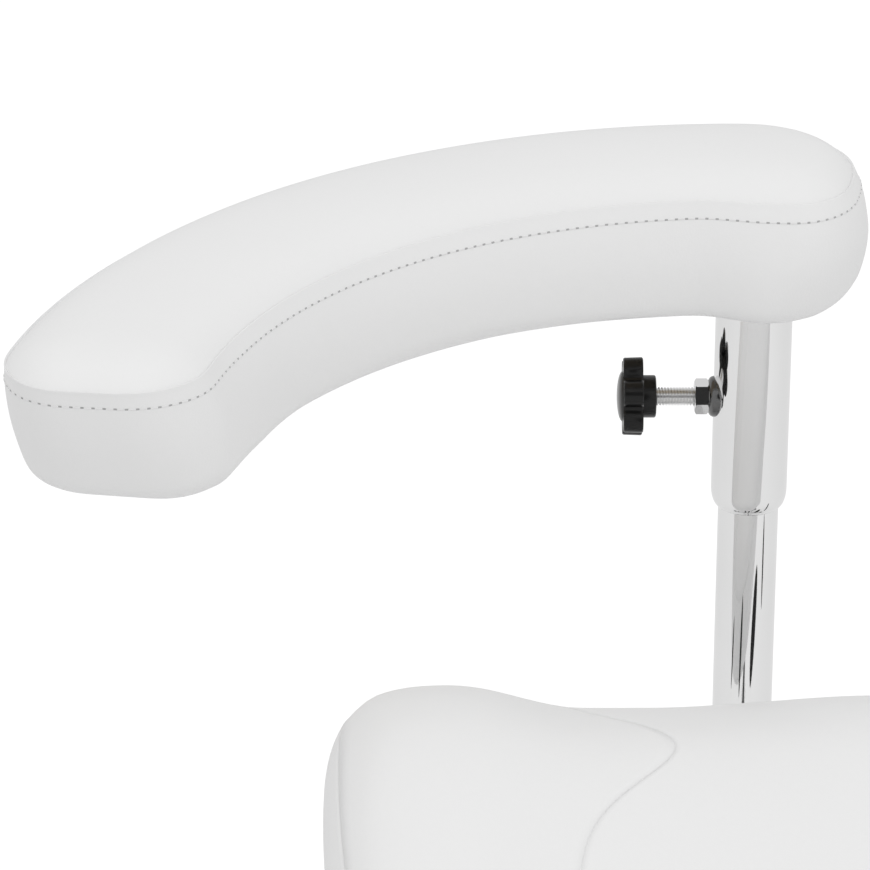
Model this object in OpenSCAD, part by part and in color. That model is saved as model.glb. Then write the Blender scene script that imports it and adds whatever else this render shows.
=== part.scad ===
// Saddle chair with a curved arm and back pad on a swinging post.
// Millimetres. The origin is on the floor under the column axis, +Z is up, +X points to the
// saddle's front and +Y to the sitter's left, where the arm post stands at rest.

/* [Seat] */
// Height of the lowest point of the saddle's ridge above the floor
seat_height = 560; // [540:5:640]
// Length of the seat behind the column axis, at the seam
seat_rear = 168; // [150:1:190]
// Length of the seat in front of the column axis, at the seam
seat_front = 190; // [170:1:210]
// Half of the seat's width, at the seam
seat_half_w = 172; // [160:1:185]
// Rise of the raised rear above the lowest point of the ridge
cantle_rise = 10; // [0:0.5:18]
// Rise of the front above the lowest point of the ridge
pommel_rise = 5.5; // [0:0.5:14]
// Slope that the wings reach, as rise over run
wing_slope = 0.65; // [0.45:0.01:0.75]
// Half width over which the ridge rounds over into the wings
ridge_round = 54; // [40:1:70]
// Drop of the rounded shoulder from the top panel to the seam
seat_shoulder = 14; // [8:1:18]
// Height of the side band below the seam
seat_band = 42; // [34:1:48]
// How far the side band bulges beyond the seam
seat_bulge = 6; // [2:0.5:9]
// Thickness of foam and cover over the middle of the shell
seat_foam = 50; // [44:1:60]
// Wall of the moulded seat shell
shell_wall = 6; // [4:0.5:8]

/* [Arm pad] */
// Width of the pad between its seams
pad_w = 75.5; // [64:0.5:90]
// Length of the pad from the post towards the front, along its centreline
pad_front_len = 38; // [34:1:60]
// Length of the pad from the post round to the back, along its centreline
pad_back_len = 374; // [300:1:420]
// Height from the pad's underside to its seam
pad_depth = 52; // [46:1:60]
// Rise of the pad's crown above its seam
pad_crown = 8; // [4:0.5:12]
// How far the pad's side band bulges beyond the seam
pad_bulge = 5.5; // [2:0.5:8]
// Height of the pad's underside above the clamp screw
pad_lift = 50; // [44:1:60]
// Thickness of the plywood board in the pad
pad_board_t = 10; // [8:1:14]

/* [Arm] */
// Height of the clamp screw above the seat's lowest ridge point
clamp_lift = 30; // [25:1:60]
// Distance from the column axis to the arm post
arm_reach = 246; // [238:1:262]
// Outside diameter of the arm tube
post_d = 25.4; // [24:0.1:27]
// Wall of the arm tube
post_wall = 2; // [1.2:0.1:3]
// Radius of the arm tube's bend, at its centreline
arm_bend_r = 60; // [45:1:75]
// Outside diameter of the sleeve on the post
sleeve_d = 31.8; // [31:0.1:34]
// Wall of the sleeve
sleeve_wall = 1.5; // [1:0.1:1.7]
// Length of the sleeve below the clamp screw
sleeve_below = 49; // [45:1:60]
// How far the pad can be raised and lowered on the post
arm_travel = 18; // [8:1:18]

/* [Knob] */
// Diameter over the lobes of the star knob
knob_d = 35; // [30:0.5:40]
// Number of lobes on the star knob
knob_lobes = 6; // [5:1:8]
// Thread diameter of the clamp screw
screw_d = 8; // [6:0.5:8]
// Length of thread that shows between the nut and the knob
screw_gap = 16; // [8:0.5:22]

/* [Gas lift] */
// Diameter of the outer column
column_d = 50; // [46:1:54]
// Diameter of the gas cylinder
cylinder_d = 28; // [26:0.5:30]
// Travel of the seat upwards from its height at rest
lift_up = 115; // [60:1:120]
// Travel of the seat downwards from its height at rest
lift_down = 25; // [0:1:28]

/* [Base] */
// Distance from the column axis to each castor stem
base_r = 275; // [240:1:290]
// Height of the hub of the star base
hub_h = 60; // [50:1:70]
// Width of an arm of the star base at the hub
base_arm_w = 46; // [36:1:50]

/* [Castors] */
// Diameter of the castor wheels
wheel_d = 50; // [40:1:56]
// Width of one castor wheel
wheel_w = 14; // [10:0.5:18]
// Horizontal offset from the castor's stem to its axle
castor_trail = 20; // [12:1:24]

/* [Hidden] */
$fn = 64;
hull_fn = 32;

// Finishes
chrome = [0.80, 0.81, 0.83];
steel = [0.55, 0.56, 0.58];
zinc = [0.70, 0.70, 0.68];
black = [0.06, 0.06, 0.07];
nylon = [0.85, 0.84, 0.80];
white = [0.94, 0.94, 0.93];
plywood = [0.76, 0.62, 0.42];
brass = [0.78, 0.62, 0.30];

// Clearances: a running fit, a fit of two fixed pieces, the air round a soft piece, and the overrun of a cut
run_fit = 0.05;
seat_fit = 0.02;
soft_gap = 0.3;
over = 1;

// Heights of the stack, from the seat down to the column
clamp_z = seat_height + clamp_lift;
shell_top_z = seat_height - seat_foam;
plate_top_z = shell_top_z - shell_wall;
plate_t = 3;
plate_z = plate_top_z - plate_t;
pivot_drop = 29;
pivot_z = plate_z - pivot_drop;
pivot_x = 45;
pivot_above_floor = 31;
housing_z = pivot_z - pivot_above_floor;
housing_wall = 3;
spigot_r = 22;
spigot_len = 73;
spigot_z = housing_z - spigot_len;
ring_groove = 3;
ring_t = 4.5;
collar_h = 32;
collar_wall = 7;
collar_z = spigot_z + ring_groove + ring_t + soft_gap;
arm_z = collar_z + collar_h / 2;
column_gap = 3;
bush_flange = 4;
column_top_z = spigot_z - lift_down - column_gap - bush_flange;

// Base and castors
base_arms = 5;
base_turn = 90;
wheel_r = wheel_d / 2;
castor_gap = 2;
fender_wall = 3;
neck_rise = 3;
hood_top_z = wheel_d + castor_gap + fender_wall + neck_rise;
stem_r = 5.5;
stem_depth = 12;
stem_foot = 8;
boss_r = 12;
boss_z = hood_top_z + castor_gap;
hub_z = boss_z + castor_gap;
hub_r = 36;
column_r = column_d / 2;
column_wall = 2.5;
column_taper = 0.8;
column_floor = 4;
column_inset = 4;
column_z = hub_z + column_inset;
// Turn of each castor about its stem at rest, in degrees from pointing inwards
castor_turns = [25, 160, 75, 215, 320];

// Ribs and ends of a base arm, as heights and widths
arm_end_w = 26;
arm_root_h = 40;
arm_root_drop = 4;
arm_end_h = 18;

// Gas cylinder and its rod
cylinder_r = cylinder_d / 2;
cylinder_wall = 2;
cylinder_rise = 26;
cylinder_top_z = housing_z + cylinder_rise;
cylinder_head = 5;
cylinder_foot = 8;
rod_r = 5;
clip_r = 9;
clip_t = 1.5;
clip_gap = 0.2;
bearing_r = 13;
bearing_t = 4;
piston_t = 10;
bush_len = 90;
bottom_gap = 15;
cylinder_z = column_z + column_floor + bearing_t + bottom_gap + lift_down;
piston_margin = 8;
piston_z = cylinder_z + cylinder_foot + lift_up + piston_margin;
release_r = 4;
release_rise = 11;
release_flange_r = 6;
release_flange_t = 4;
release_len = 40;

// Mechanism housing and seat plate
housing_rear = 60;
housing_front = 70;
housing_half_w = 47;
housing_low_h = 21;
housing_high_h = 43;
housing_step_x = 20;
pivot_boss = 13;
pivot_r = 5;
ear_gap = 2;
ear_t = 3;
plate_rear = 80;
plate_front = 80;
plate_half_w = 46;
plate_corner = 12;
bolt_x = 66;
bolt_y = 35;
bolt_r = 4;
bolt_head_r = 6.5;
bolt_head_h = 5;
insert_r = 6.5;
insert_inset = 2;
insert_h = shell_wall - insert_inset;

// Levers
lever_r = 4;
lever_x = 24;
bend_swell = 0.3;
tongue_t = 4;
tongue_half_w = 5;
lever_z = cylinder_top_z + release_rise + soft_gap + tongue_t / 2;
lever_collar_r = 7;
lever_collar_t = 4;
lever_out = 10;
lever_drop = 40;
lever_knee_x = 45;
lever_knee_y = 90;
lever_end_x = 100;
lever_end_y = 185;
lever_end_drop = 12;
grip_r = 8;
grip_len = 62;
tilt_x = -32;
tilt_rise = 13;
tilt_z = housing_z + tilt_rise;
tilt_out = 12;
tilt_end_x = -110;
tab_half_w = 12;
tab_slot = 5.2;
tab_slot_half = 19;

// Sleeve, bushes and clamp
post_r = post_d / 2;
sleeve_r = sleeve_d / 2;
sleeve_in_r = sleeve_r - sleeve_wall;
sleeve_rim_h = 7;
sleeve_z = clamp_z - sleeve_below;
pad_z = clamp_z + pad_lift;
pad_plate_t = 3;
sleeve_top_z = pad_z - pad_plate_t;
post_margin = 6;
post_top_z = clamp_z + arm_travel + screw_d / 2 + post_margin;
plug_cap_t = 2;
plug_len = 14;
bush_inset = 4;
low_bush_z = sleeve_z + sleeve_rim_h + bush_inset;
low_bush_h = 22;
high_bush_z = clamp_z + screw_d;
screw_r = screw_d / 2;
nut_af = 1.625 * screw_d;
nut_t = 0.75 * screw_d;
weld_r = 8.5;
weld_t = 2;
shoe_t = 2;
shoe_slack = 0.1;
shoe_r = screw_r - shoe_slack;
nut_x = sleeve_r + weld_t;
hub_x = nut_x + nut_t + screw_gap;
knob_hub_r = 0.253 * knob_d;
knob_hub_t = 5.6;
knob_t = 8.2;
knob_lobe_r = 0.157 * knob_d;
knob_core_r = 0.36 * knob_d;
knob_cap_r = 0.293 * knob_d;
knob_cap_t = 2.4;
head_t = 5.3;
knob_floor = 2;

// Pad board, plate and screws
board_inset_share = 0.1854;
board_inset = board_inset_share * pad_w;
// Half sizes of the plate and places of its screws, as shares of the pad's front length and of its width
pad_plate_half_shares = [0.63, 0.265];
pad_screw_shares = [0.447, 0.172];
pad_plate_half_x = pad_plate_half_shares[0] * pad_front_len;
pad_plate_half_y = pad_plate_half_shares[1] * pad_w;
pad_screw_x = pad_screw_shares[0] * pad_front_len;
pad_screw_y = pad_screw_shares[1] * pad_w;
pad_screw_r = 2.2;
pad_screw_head_r = 4.2;
pad_screw_head_t = 2.4;
pad_screw_len = 8;

// Curves and points of the pad
pad_shift = 3.75;
pad_mid_r = arm_reach + pad_shift;
pad_in_r = pad_mid_r - pad_w / 2;
pad_out_r = pad_mid_r + pad_w / 2;
pad_offset = 8;
pad_front_deg = (pad_front_len + pad_offset) / pad_mid_r * 180 / PI;
pad_back_deg = (pad_back_len - pad_offset) / pad_mid_r * 180 / PI;
// Corner radii of the pad as shares of its width: inner and outer at the front, inner and outer at the back
pad_corner_shares = [0.331, 0.596, 0.318, 0.371];
pad_corner_in_front = pad_corner_shares[0] * pad_w;
pad_corner_out_front = pad_corner_shares[1] * pad_w;
pad_corner_in_back = pad_corner_shares[2] * pad_w;
pad_corner_out_back = pad_corner_shares[3] * pad_w;
pad_steps = 34;
// How far the foot of the pad's back end is set in under its seam, and how fast the set-in fades along the pad
pad_undercut_share = 0.16;
pad_undercut_deg = pad_undercut_share * pad_w / pad_mid_r * 180 / PI;
undercut_power = 4;
pad_end_inset_share = 0.45;
pad_end_inset = pad_end_inset_share * pad_w;
end_density_share = 0.82;

// Rows of the pad, from the underside to the crown: offset from the seam and height from the underside,
// as shares of the bulge and of the depth
pad_band_shares = [[-1.6, 0], [-0.2, 0.03], [0.75, 0.22], [1, 0.5], [0.6, 0.82], [0, 1]];
// Rows of the crown: share of the half width and share of the crown's rise
pad_crown_shares = [[0.9, 0.36], [0.68, 0.72], [0.34, 0.95]];

// Half outline of the saddle from the rear centre to the front centre: share of the length behind or
// in front of the column axis, and share of the half width
seat_outline_shares = [[-1, 0], [-0.985, 0.3], [-0.93, 0.6], [-0.74, 0.88], [-0.4, 1], [-0.02, 0.93],
    [0.3, 0.72], [0.58, 0.53], [0.82, 0.42], [0.95, 0.3], [1, 0]];
seat_points = 56;
// Rows of the seat's underside: share of the outline
seat_under_shares = [0.2, 0.36, 0.52, 0.66, 0.78, 0.88];
shell_edge_share = 0.93;
wing_foam = 38;
// Rows of the side band: share of the bulge and share of the band's height below the seam
seat_band_shares = [[-0.9, 1], [0.1, 0.96], [0.75, 0.76], [1, 0.48], [0.6, 0.2], [0, 0]];
// Rows of the top panel: share of the outline
seat_top_shares = [0.955, 0.88, 0.8, 0.62, 0.42, 0.2];
seat_shoulder_share = 0.8;

// Where the rises of the saddle's ridge begin and how long they take
cantle_x = -75;
cantle_run = 50;
pommel_x = -45;
pommel_run = 85;
seat_mid_x = -10;

function smooth(a) = let (t = min(1, max(0, a))) t * t * (3 - 2 * t);

// Spline through a closed list of points
function spline_point(p, u) =
    let (m = len(p), k = floor(u), v = u - k,
        a = p[(k + m - 1) % m], b = p[k % m], c = p[(k + 1) % m], d = p[(k + 2) % m])
    (2 * b + (c - a) * v + (2 * a - 5 * b + 4 * c - d) * v * v + (3 * b - a - 3 * c + d) * v * v * v) / 2;

function normal_of(p, i) =
    let (m = len(p), d = p[(i + 1) % m] - p[(i + m - 1) % m]) [d[1], -d[0]] / norm(d);

// Triangles of a loft made of closed rings, ends left open. The first rows may be cut along the other
// diagonal, as a surface needs that lies on one lofted the other way
function ring_faces(n, rows, turned = 0) = [for (j = [0 : rows - 2], i = [0 : n - 1])
    let (a = j * n + i, b = j * n + (i + 1) % n, c = (j + 1) * n + (i + 1) % n, d = (j + 1) * n + i)
    each (j < turned ? [[a, b, d], [b, c, d]] : [[a, c, d], [a, b, c]])];

function fan_faces(n, first, centre, low) = [for (i = [0 : n - 1])
    low ? [centre, first + (i + 1) % n, first + i] : [centre, first + i, first + (i + 1) % n]];

// Strip that closes a ring whose second half runs back beside its first
function strip_faces(n, first, low) = [for (i = [0 : n / 2 - 2])
    let (a = first + i, b = a + 1, c = first + n - 2 - i, d = c + 1)
    each (low ? [[a, d, c], [a, c, b]] : [[a, c, d], [a, b, c]])];

// Saddle surface
function ridge_rise(x) = cantle_rise * smooth((cantle_x - x) / cantle_run)
    + pommel_rise * smooth((x - pommel_x) / pommel_run);
function wing_drop(y) = wing_slope * (sqrt(y * y + ridge_round * ridge_round) - ridge_round);
function shoulder_drop(s) =
    let (e = max(0, (s - seat_shoulder_share) / (1 - seat_shoulder_share)))
    seat_shoulder * (1 - sqrt(max(0, 1 - e * e)));
function saddle_z(p, s) = seat_height + ridge_rise(p[0]) - wing_drop(p[1]) - shoulder_drop(s);

seat_half_outline = [for (p = seat_outline_shares)
    [p[0] * (p[0] < 0 ? seat_rear : seat_front), p[1] * seat_half_w]];
seat_knots = [each seat_half_outline,
    for (i = [len(seat_half_outline) - 2 : -1 : 1]) [seat_half_outline[i][0], -seat_half_outline[i][1]]];
seat_outline = [for (i = [0 : seat_points - 1])
    spline_point(seat_knots, i * len(seat_knots) / seat_points)];
seat_mid = [seat_mid_x, 0];
seat_normals = [for (i = [0 : seat_points - 1]) -normal_of(seat_outline, i)];

function seat_scaled(i, s) = seat_mid + s * (seat_outline[i] - seat_mid);
function rim_z(i) = saddle_z(seat_outline[i], 1) - seat_band;
// Top face of the shell: a flat land in the middle that falls with the wings, and a lip at its edge
function shell_point(i, s, rise) =
    let (q = seat_scaled(i, s))
    [q[0], q[1], rise + (s < shell_edge_share ? min(shell_top_z, saddle_z(q, 0) - wing_foam)
        : rim_z(i) + shell_wall / 2)];
function shell_ring(s, rise) = [for (i = [0 : seat_points - 1]) shell_point(i, s, rise)];

module seat_loft(rings, low_z, high_z, turned = 0) {
    count = len(rings);
    polyhedron(
        points = [for (ring = rings) each ring, [seat_mid_x, 0, low_z], [seat_mid_x, 0, high_z]],
        faces = [each ring_faces(seat_points, count, turned),
            each fan_faces(seat_points, 0, count * seat_points, true),
            each fan_faces(seat_points, (count - 1) * seat_points, count * seat_points + 1, false)]);
}

// Plain shapes
module tube(outer, inner, h) {
    difference() {
        cylinder(r = outer, h = h);
        translate([0, 0, -over]) cylinder(r = inner, h = h + 2 * over);
    }
}

module along_y(r, h) {
    rotate([-90, 0, 0]) cylinder(r = r, h = h);
}

module towards_knob(r, x, h) {
    translate([-x, arm_reach, clamp_z]) rotate([0, -90, 0]) cylinder(r = r, h = h);
}

module hexagon_towards_knob(across_flats, x, h) {
    translate([-x, arm_reach, clamp_z]) rotate([0, -90, 0]) rotate(30)
        cylinder(r = across_flats / sqrt(3), h = h, $fn = 6);
}

module at_castor(i) {
    rotate(base_turn + i * 360 / base_arms) translate([base_r, 0, 0]) rotate(180 + castor_turns[i]) children();
}

// Star base: a hub with five tapering arms, each with a boss for a castor stem
module base_arm() {
    hull() {
        translate([hub_r / 2, -base_arm_w / 2, hub_z])
            cube([over, base_arm_w, arm_root_h / 2]);
        translate([hub_r / 2, 0, hub_z + arm_root_h + arm_root_drop - base_arm_w / 4])
            rotate([0, 90, 0]) cylinder(r = base_arm_w / 4, h = over, $fn = hull_fn);
        translate([base_r, 0, boss_z]) cylinder(r = arm_end_w / 2, h = arm_end_h / 2, $fn = hull_fn);
        translate([base_r, 0, boss_z + arm_end_h / 2])
            scale([1, 1, arm_end_h / arm_end_w]) sphere(r = arm_end_w / 2, $fn = hull_fn);
    }
}

module star_base() {
    color(chrome) difference() {
        union() {
            translate([0, 0, hub_z]) cylinder(r = hub_r, h = hub_h);
            for (i = [0 : base_arms - 1]) rotate(base_turn + i * 360 / base_arms) base_arm();
            for (i = [0 : base_arms - 1]) at_castor(i)
                translate([0, 0, boss_z]) cylinder(r = boss_r, h = arm_end_h);
        }
        translate([0, 0, hub_z - over])
            cylinder(r1 = column_r - column_taper + seat_fit, r2 = column_r + seat_fit, h = hub_h + 2 * over);
        for (i = [0 : base_arms - 1]) at_castor(i)
            translate([0, 0, boss_z - over]) cylinder(r = stem_r + seat_fit, h = stem_depth + over);
    }
}

module castor_stems() {
    color(zinc) for (i = [0 : base_arms - 1]) at_castor(i)
        translate([0, 0, wheel_r + stem_foot]) cylinder(r = stem_r, h = boss_z + stem_depth - wheel_r - stem_foot);
}

// Castors: a hood that turns on its stem, and two wheels pressed on one axle
web_wall = 1.5;
web_half = stem_r + web_wall;
axle_r = 3;
wheel_gap = 0.5;
wheel_chamfer = 2;
fender_gap = 1;
neck_r = 9;
neck_h = 8;

module at_axle() {
    translate([castor_trail, 0, wheel_r]) children();
}

module castor_hood(i) {
    fender_r = wheel_r + fender_gap;
    fender_half = web_half + wheel_gap + wheel_w;
    color(black) at_castor(i) difference() {
        union() {
            at_axle() translate([0, -web_half, 0]) along_y(wheel_r - fender_wall, 2 * web_half);
            translate([-web_half, -web_half, wheel_r])
                cube([castor_trail + web_half, 2 * web_half, hood_top_z - wheel_r - neck_h / 2]);
            translate([0, 0, hood_top_z - neck_h]) cylinder(r = neck_r, h = neck_h);
            at_axle() intersection() {
                translate([0, -fender_half, 0]) difference() {
                    along_y(fender_r + fender_wall, 2 * fender_half);
                    translate([0, -over, 0]) along_y(fender_r, 2 * (fender_half + over));
                }
                translate([-wheel_d, -wheel_d, fender_wall]) cube(2 * wheel_d);
            }
        }
        translate([0, 0, wheel_r + stem_foot - seat_fit]) cylinder(r = stem_r + run_fit, h = wheel_d);
        at_axle() translate([0, -web_half - over, 0]) along_y(axle_r + run_fit, 2 * (web_half + over));
    }
}

module castor_axle(i) {
    half = web_half + wheel_gap + wheel_w - wheel_chamfer;
    color(steel) at_castor(i) at_axle() translate([0, -half, 0]) along_y(axle_r, 2 * half);
}

module wheel() {
    rotate_extrude() polygon([[axle_r + seat_fit, 0], [wheel_r - wheel_chamfer, 0], [wheel_r, wheel_chamfer],
        [wheel_r, wheel_w - wheel_chamfer], [wheel_r - wheel_chamfer, wheel_w], [axle_r + seat_fit, wheel_w]]);
}

module castor_wheels(i) {
    color(black) at_castor(i) at_axle() for (side = [0, 180])
        rotate(side) translate([0, web_half + wheel_gap, 0]) rotate([-90, 0, 0]) wheel();
}

// Gas lift: the outer column is wedged in the hub, and a nylon bush at its top guides the cylinder
module column_tube() {
    color(chrome) difference() {
        union() {
            translate([0, 0, column_z])
                cylinder(r1 = column_r - column_taper * (hub_z + hub_h - column_z) / hub_h,
                    r2 = column_r, h = hub_z + hub_h - column_z);
            translate([0, 0, hub_z + hub_h]) cylinder(r = column_r, h = column_top_z - hub_z - hub_h);
        }
        translate([0, 0, column_z + column_floor])
            cylinder(r = column_r - column_wall, h = column_top_z);
        translate([0, 0, column_z - over]) cylinder(r = rod_r + run_fit, h = column_floor + 2 * over);
    }
}

module column_bush() {
    color(black) {
        translate([0, 0, column_top_z - bush_len])
            tube(column_r - column_wall - seat_fit, cylinder_r + run_fit, bush_len);
        translate([0, 0, column_top_z]) tube(column_r + over, cylinder_r + run_fit, bush_flange);
    }
}

module thrust_bearing() {
    color(steel) translate([0, 0, column_z + column_floor]) tube(bearing_r, rod_r + run_fit, bearing_t);
}

module piston_rod() {
    color(steel) {
        translate([0, 0, column_z - clip_gap - clip_t - over])
            cylinder(r = rod_r, h = piston_z - column_z + clip_gap + clip_t + over);
        translate([0, 0, column_z + column_floor + bearing_t + run_fit])
            cylinder(r = bearing_r - over, h = bearing_t);
    }
}

module rod_clip() {
    color(steel) translate([0, 0, column_z - clip_gap - clip_t]) tube(clip_r, rod_r + seat_fit, clip_t);
}

module piston_head() {
    color(brass) translate([0, 0, piston_z]) cylinder(r = cylinder_r - cylinder_wall - run_fit, h = piston_t);
}

module gas_cylinder() {
    inner_z = cylinder_z + cylinder_foot;
    color(steel) difference() {
        translate([0, 0, cylinder_z]) cylinder(r = cylinder_r, h = cylinder_top_z - cylinder_z);
        translate([0, 0, inner_z])
            cylinder(r = cylinder_r - cylinder_wall, h = cylinder_top_z - cylinder_head - inner_z);
        translate([0, 0, cylinder_z - over]) cylinder(r = rod_r + run_fit, h = cylinder_foot + 2 * over);
        translate([0, 0, cylinder_top_z - cylinder_head - over])
            cylinder(r = release_r + run_fit, h = cylinder_head + 2 * over);
    }
}

module release_pin() {
    color(brass) {
        translate([0, 0, cylinder_top_z - release_len])
            cylinder(r = release_r, h = release_len + release_rise - release_r);
        translate([0, 0, cylinder_top_z + release_rise - release_r]) sphere(r = release_r);
        translate([0, 0, cylinder_top_z - cylinder_head - release_flange_t - run_fit])
            cylinder(r = release_flange_r, h = release_flange_t);
    }
}

// Tilt mechanism: an open channel on the spigot that holds the gas cylinder
module housing_side() {
    rotate([90, 0, 0]) linear_extrude(housing_wall) polygon([
        [-housing_rear, housing_z], [housing_front, housing_z],
        [housing_front, pivot_z - pivot_r],
        [pivot_x + pivot_boss, housing_z + housing_high_h], [pivot_x - pivot_boss, housing_z + housing_high_h],
        [housing_step_x, housing_z + housing_low_h], [-housing_rear, housing_z + housing_low_h]]);
}

module lever_ear() {
    translate([lever_x - lever_collar_r - housing_wall, 0, housing_z])
        cube([2 * (lever_collar_r + housing_wall), housing_wall, lever_z - housing_z + lever_collar_r]);
}

module mechanism_housing() {
    color(black) difference() {
        union() {
            translate([-housing_rear, -housing_half_w, housing_z])
                cube([housing_rear + housing_front, 2 * housing_half_w, housing_wall]);
            translate([0, housing_half_w, 0]) housing_side();
            translate([0, -housing_half_w + housing_wall, 0]) housing_side();
            translate([0, -housing_half_w, 0]) lever_ear();
            translate([0, housing_half_w - housing_wall, 0]) lever_ear();
            translate([0, 0, spigot_z]) cylinder(r = spigot_r, h = spigot_len + housing_wall);
            translate([0, 0, collar_z + collar_h + soft_gap])
                cylinder(r = spigot_r + collar_wall, h = ring_t);
        }
        translate([0, 0, spigot_z - over]) cylinder(r = cylinder_r + seat_fit, h = spigot_len + pivot_boss);
        translate([pivot_x, -housing_half_w - over, pivot_z])
            along_y(pivot_r + run_fit, 2 * (housing_half_w + over));
        translate([tilt_x, -housing_half_w - over, tilt_z])
            along_y(lever_r + run_fit, 2 * (housing_half_w + over));
        translate([lever_x, -housing_half_w - over, lever_z])
            along_y(lever_r + run_fit, 2 * (housing_half_w + over));
        translate([tilt_x - tab_half_w - 2 * ear_gap, housing_half_w - housing_wall - 2 * ear_gap - ear_t,
            housing_z - over])
            cube([2 * (tab_half_w + 2 * ear_gap), ear_t + 2 * ear_gap, housing_wall + 2 * over]);
        translate([0, 0, spigot_z + ring_groove]) tube(spigot_r + over, spigot_r - over, ring_t);
    }
}

module swing_ring() {
    color(steel) translate([0, 0, spigot_z + ring_groove + seat_fit])
        tube(spigot_r + collar_wall / 2, spigot_r - over + seat_fit, ring_t - 2 * seat_fit);
}

// Round bar between two points
module bar(from, to, r) {
    d = to - from;
    translate(from) rotate([0, acos(d[2] / norm(d)), atan2(d[1], d[0])]) cylinder(r = r, h = norm(d));
}

module grip(length) {
    rotate_extrude() polygon([[0, 0], [grip_r - over, 0], [grip_r, over], [grip_r, length - 2 * over],
        [lever_r + over, length], [lever_r + seat_fit, length], [lever_r + seat_fit, 2 * lever_r],
        [0, 2 * lever_r]]);
}

// Grip whose closed end lies beyond the end of a bar
module grip_on(from, to) {
    d = (to - from) / norm(to - from);
    translate(to + d * 3 * lever_r) rotate([0, acos(-d[2]), atan2(-d[1], -d[0])]) grip(grip_len);
}

// Height lever: a cross rod in the housing, with a tongue over the release pin and a bent arm outside
lever_start = [lever_x, -housing_half_w - lever_out, lever_z];
lever_knee = [lever_knee_x, -lever_knee_y, lever_z - lever_drop];
lever_end = [lever_end_x, -lever_end_y, lever_z - lever_drop - lever_end_drop];

module height_lever() {
    color(chrome) {
        translate([lever_x, -housing_half_w - lever_out, lever_z])
            along_y(lever_r, 2 * housing_half_w + lever_out + over);
        for (side = [0, 180]) rotate(side) translate([side > 0 ? -lever_x : lever_x,
            housing_half_w - housing_wall - lever_collar_t - soft_gap, lever_z])
            along_y(lever_collar_r, lever_collar_t);
        translate([-tongue_half_w, -tongue_half_w, lever_z - tongue_t / 2])
            cube([lever_x + tongue_half_w, 2 * tongue_half_w, tongue_t]);
        translate(lever_start) sphere(r = lever_r + bend_swell);
        translate(lever_knee) sphere(r = lever_r + bend_swell);
        bar(lever_start, lever_knee, lever_r);
        bar(lever_knee, lever_end, lever_r);
    }
}

module height_grip() {
    color(black) grip_on(lever_knee, lever_end);
}

// Tilt lever: a clamp rod through both sides of the housing and the seat plate's slotted tab
tilt_start = [tilt_x, housing_half_w + tilt_out, tilt_z];
tilt_end = [tilt_end_x, housing_half_w + tilt_out, tilt_z];

module tilt_lever() {
    color(chrome) {
        translate([tilt_x, -housing_half_w - lever_collar_t - soft_gap, tilt_z])
            along_y(lever_r, 2 * housing_half_w + lever_collar_t + soft_gap + tilt_out);
        translate([tilt_x, -housing_half_w - lever_collar_t - soft_gap, tilt_z])
            along_y(lever_collar_r, lever_collar_t);
        translate([tilt_x, housing_half_w + soft_gap, tilt_z]) along_y(lever_collar_r, lever_collar_t);
        translate(tilt_start) sphere(r = lever_r + bend_swell);
        bar(tilt_start, tilt_end, lever_r);
    }
}

module tilt_grip() {
    color(black) grip_on(tilt_start, tilt_end);
}

// Seat: steel plate with two pivot ears and a slotted tab, moulded shell, foam and cover
module seat_ear() {
    rotate([90, 0, 0]) linear_extrude(ear_t) union() {
        translate([pivot_x, pivot_z]) circle(r = pivot_boss - ear_gap);
        translate([pivot_x - pivot_boss + ear_gap, pivot_z])
            square([2 * (pivot_boss - ear_gap), plate_z - pivot_z + seat_fit]);
    }
}

module tilt_tab() {
    rotate([90, 0, 0]) linear_extrude(ear_t) difference() {
        translate([tilt_x - tab_half_w, tilt_z - tab_slot_half - ear_gap])
            square([2 * tab_half_w, plate_z - tilt_z + tab_slot_half + ear_gap + seat_fit]);
        translate([tilt_x, tilt_z]) rotate(atan2(pivot_z - tilt_z, pivot_x - tilt_x))
            square([2 * tab_slot, 2 * tab_slot_half - 2 * ear_t], center = true);
    }
}

module seat_plate() {
    ear_y = housing_half_w - housing_wall - ear_gap;
    color(black) difference() {
        union() {
            translate([0, 0, plate_z]) linear_extrude(plate_t) difference() {
                union() {
                    translate([-plate_rear, -plate_half_w + plate_corner])
                        square([plate_rear + plate_front, 2 * (plate_half_w - plate_corner)]);
                    translate([-plate_rear + plate_corner, -plate_half_w])
                        square([plate_rear + plate_front - 2 * plate_corner, 2 * plate_half_w]);
                    for (x = [-plate_rear + plate_corner, plate_front - plate_corner], side = [-1, 1])
                        translate([x, side * (plate_half_w - plate_corner)]) circle(r = plate_corner);
                }
                at_seat_bolts() circle(r = bolt_r + 2 * run_fit);
            }
            translate([0, ear_y, 0]) seat_ear();
            translate([0, -ear_y + ear_t, 0]) seat_ear();
            translate([0, ear_y, 0]) tilt_tab();
        }
        translate([pivot_x, -housing_half_w, pivot_z]) along_y(pivot_r + seat_fit, 2 * housing_half_w);
    }
}

module pivot_pin() {
    head_y = housing_half_w + soft_gap;
    color(zinc) {
        translate([pivot_x, -head_y - ear_t, pivot_z]) along_y(pivot_r, 2 * head_y + ear_t + over);
        translate([pivot_x, -head_y - ear_t, pivot_z]) along_y(pivot_r + ear_t, ear_t);
    }
}

module at_seat_bolts() {
    for (x = [-bolt_x, bolt_x], side = [-1, 1]) translate([x, side * bolt_y, 0]) children();
}

module seat_bolts() {
    color(zinc) at_seat_bolts() {
        translate([0, 0, plate_z - bolt_head_h]) cylinder(r = bolt_head_r, h = bolt_head_h, $fn = 6);
        translate([0, 0, plate_z]) cylinder(r = bolt_r, h = plate_t + insert_h);
    }
}

module seat_inserts() {
    color(brass) at_seat_bolts() translate([0, 0, plate_top_z]) tube(insert_r, bolt_r + seat_fit, insert_h);
}

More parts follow.
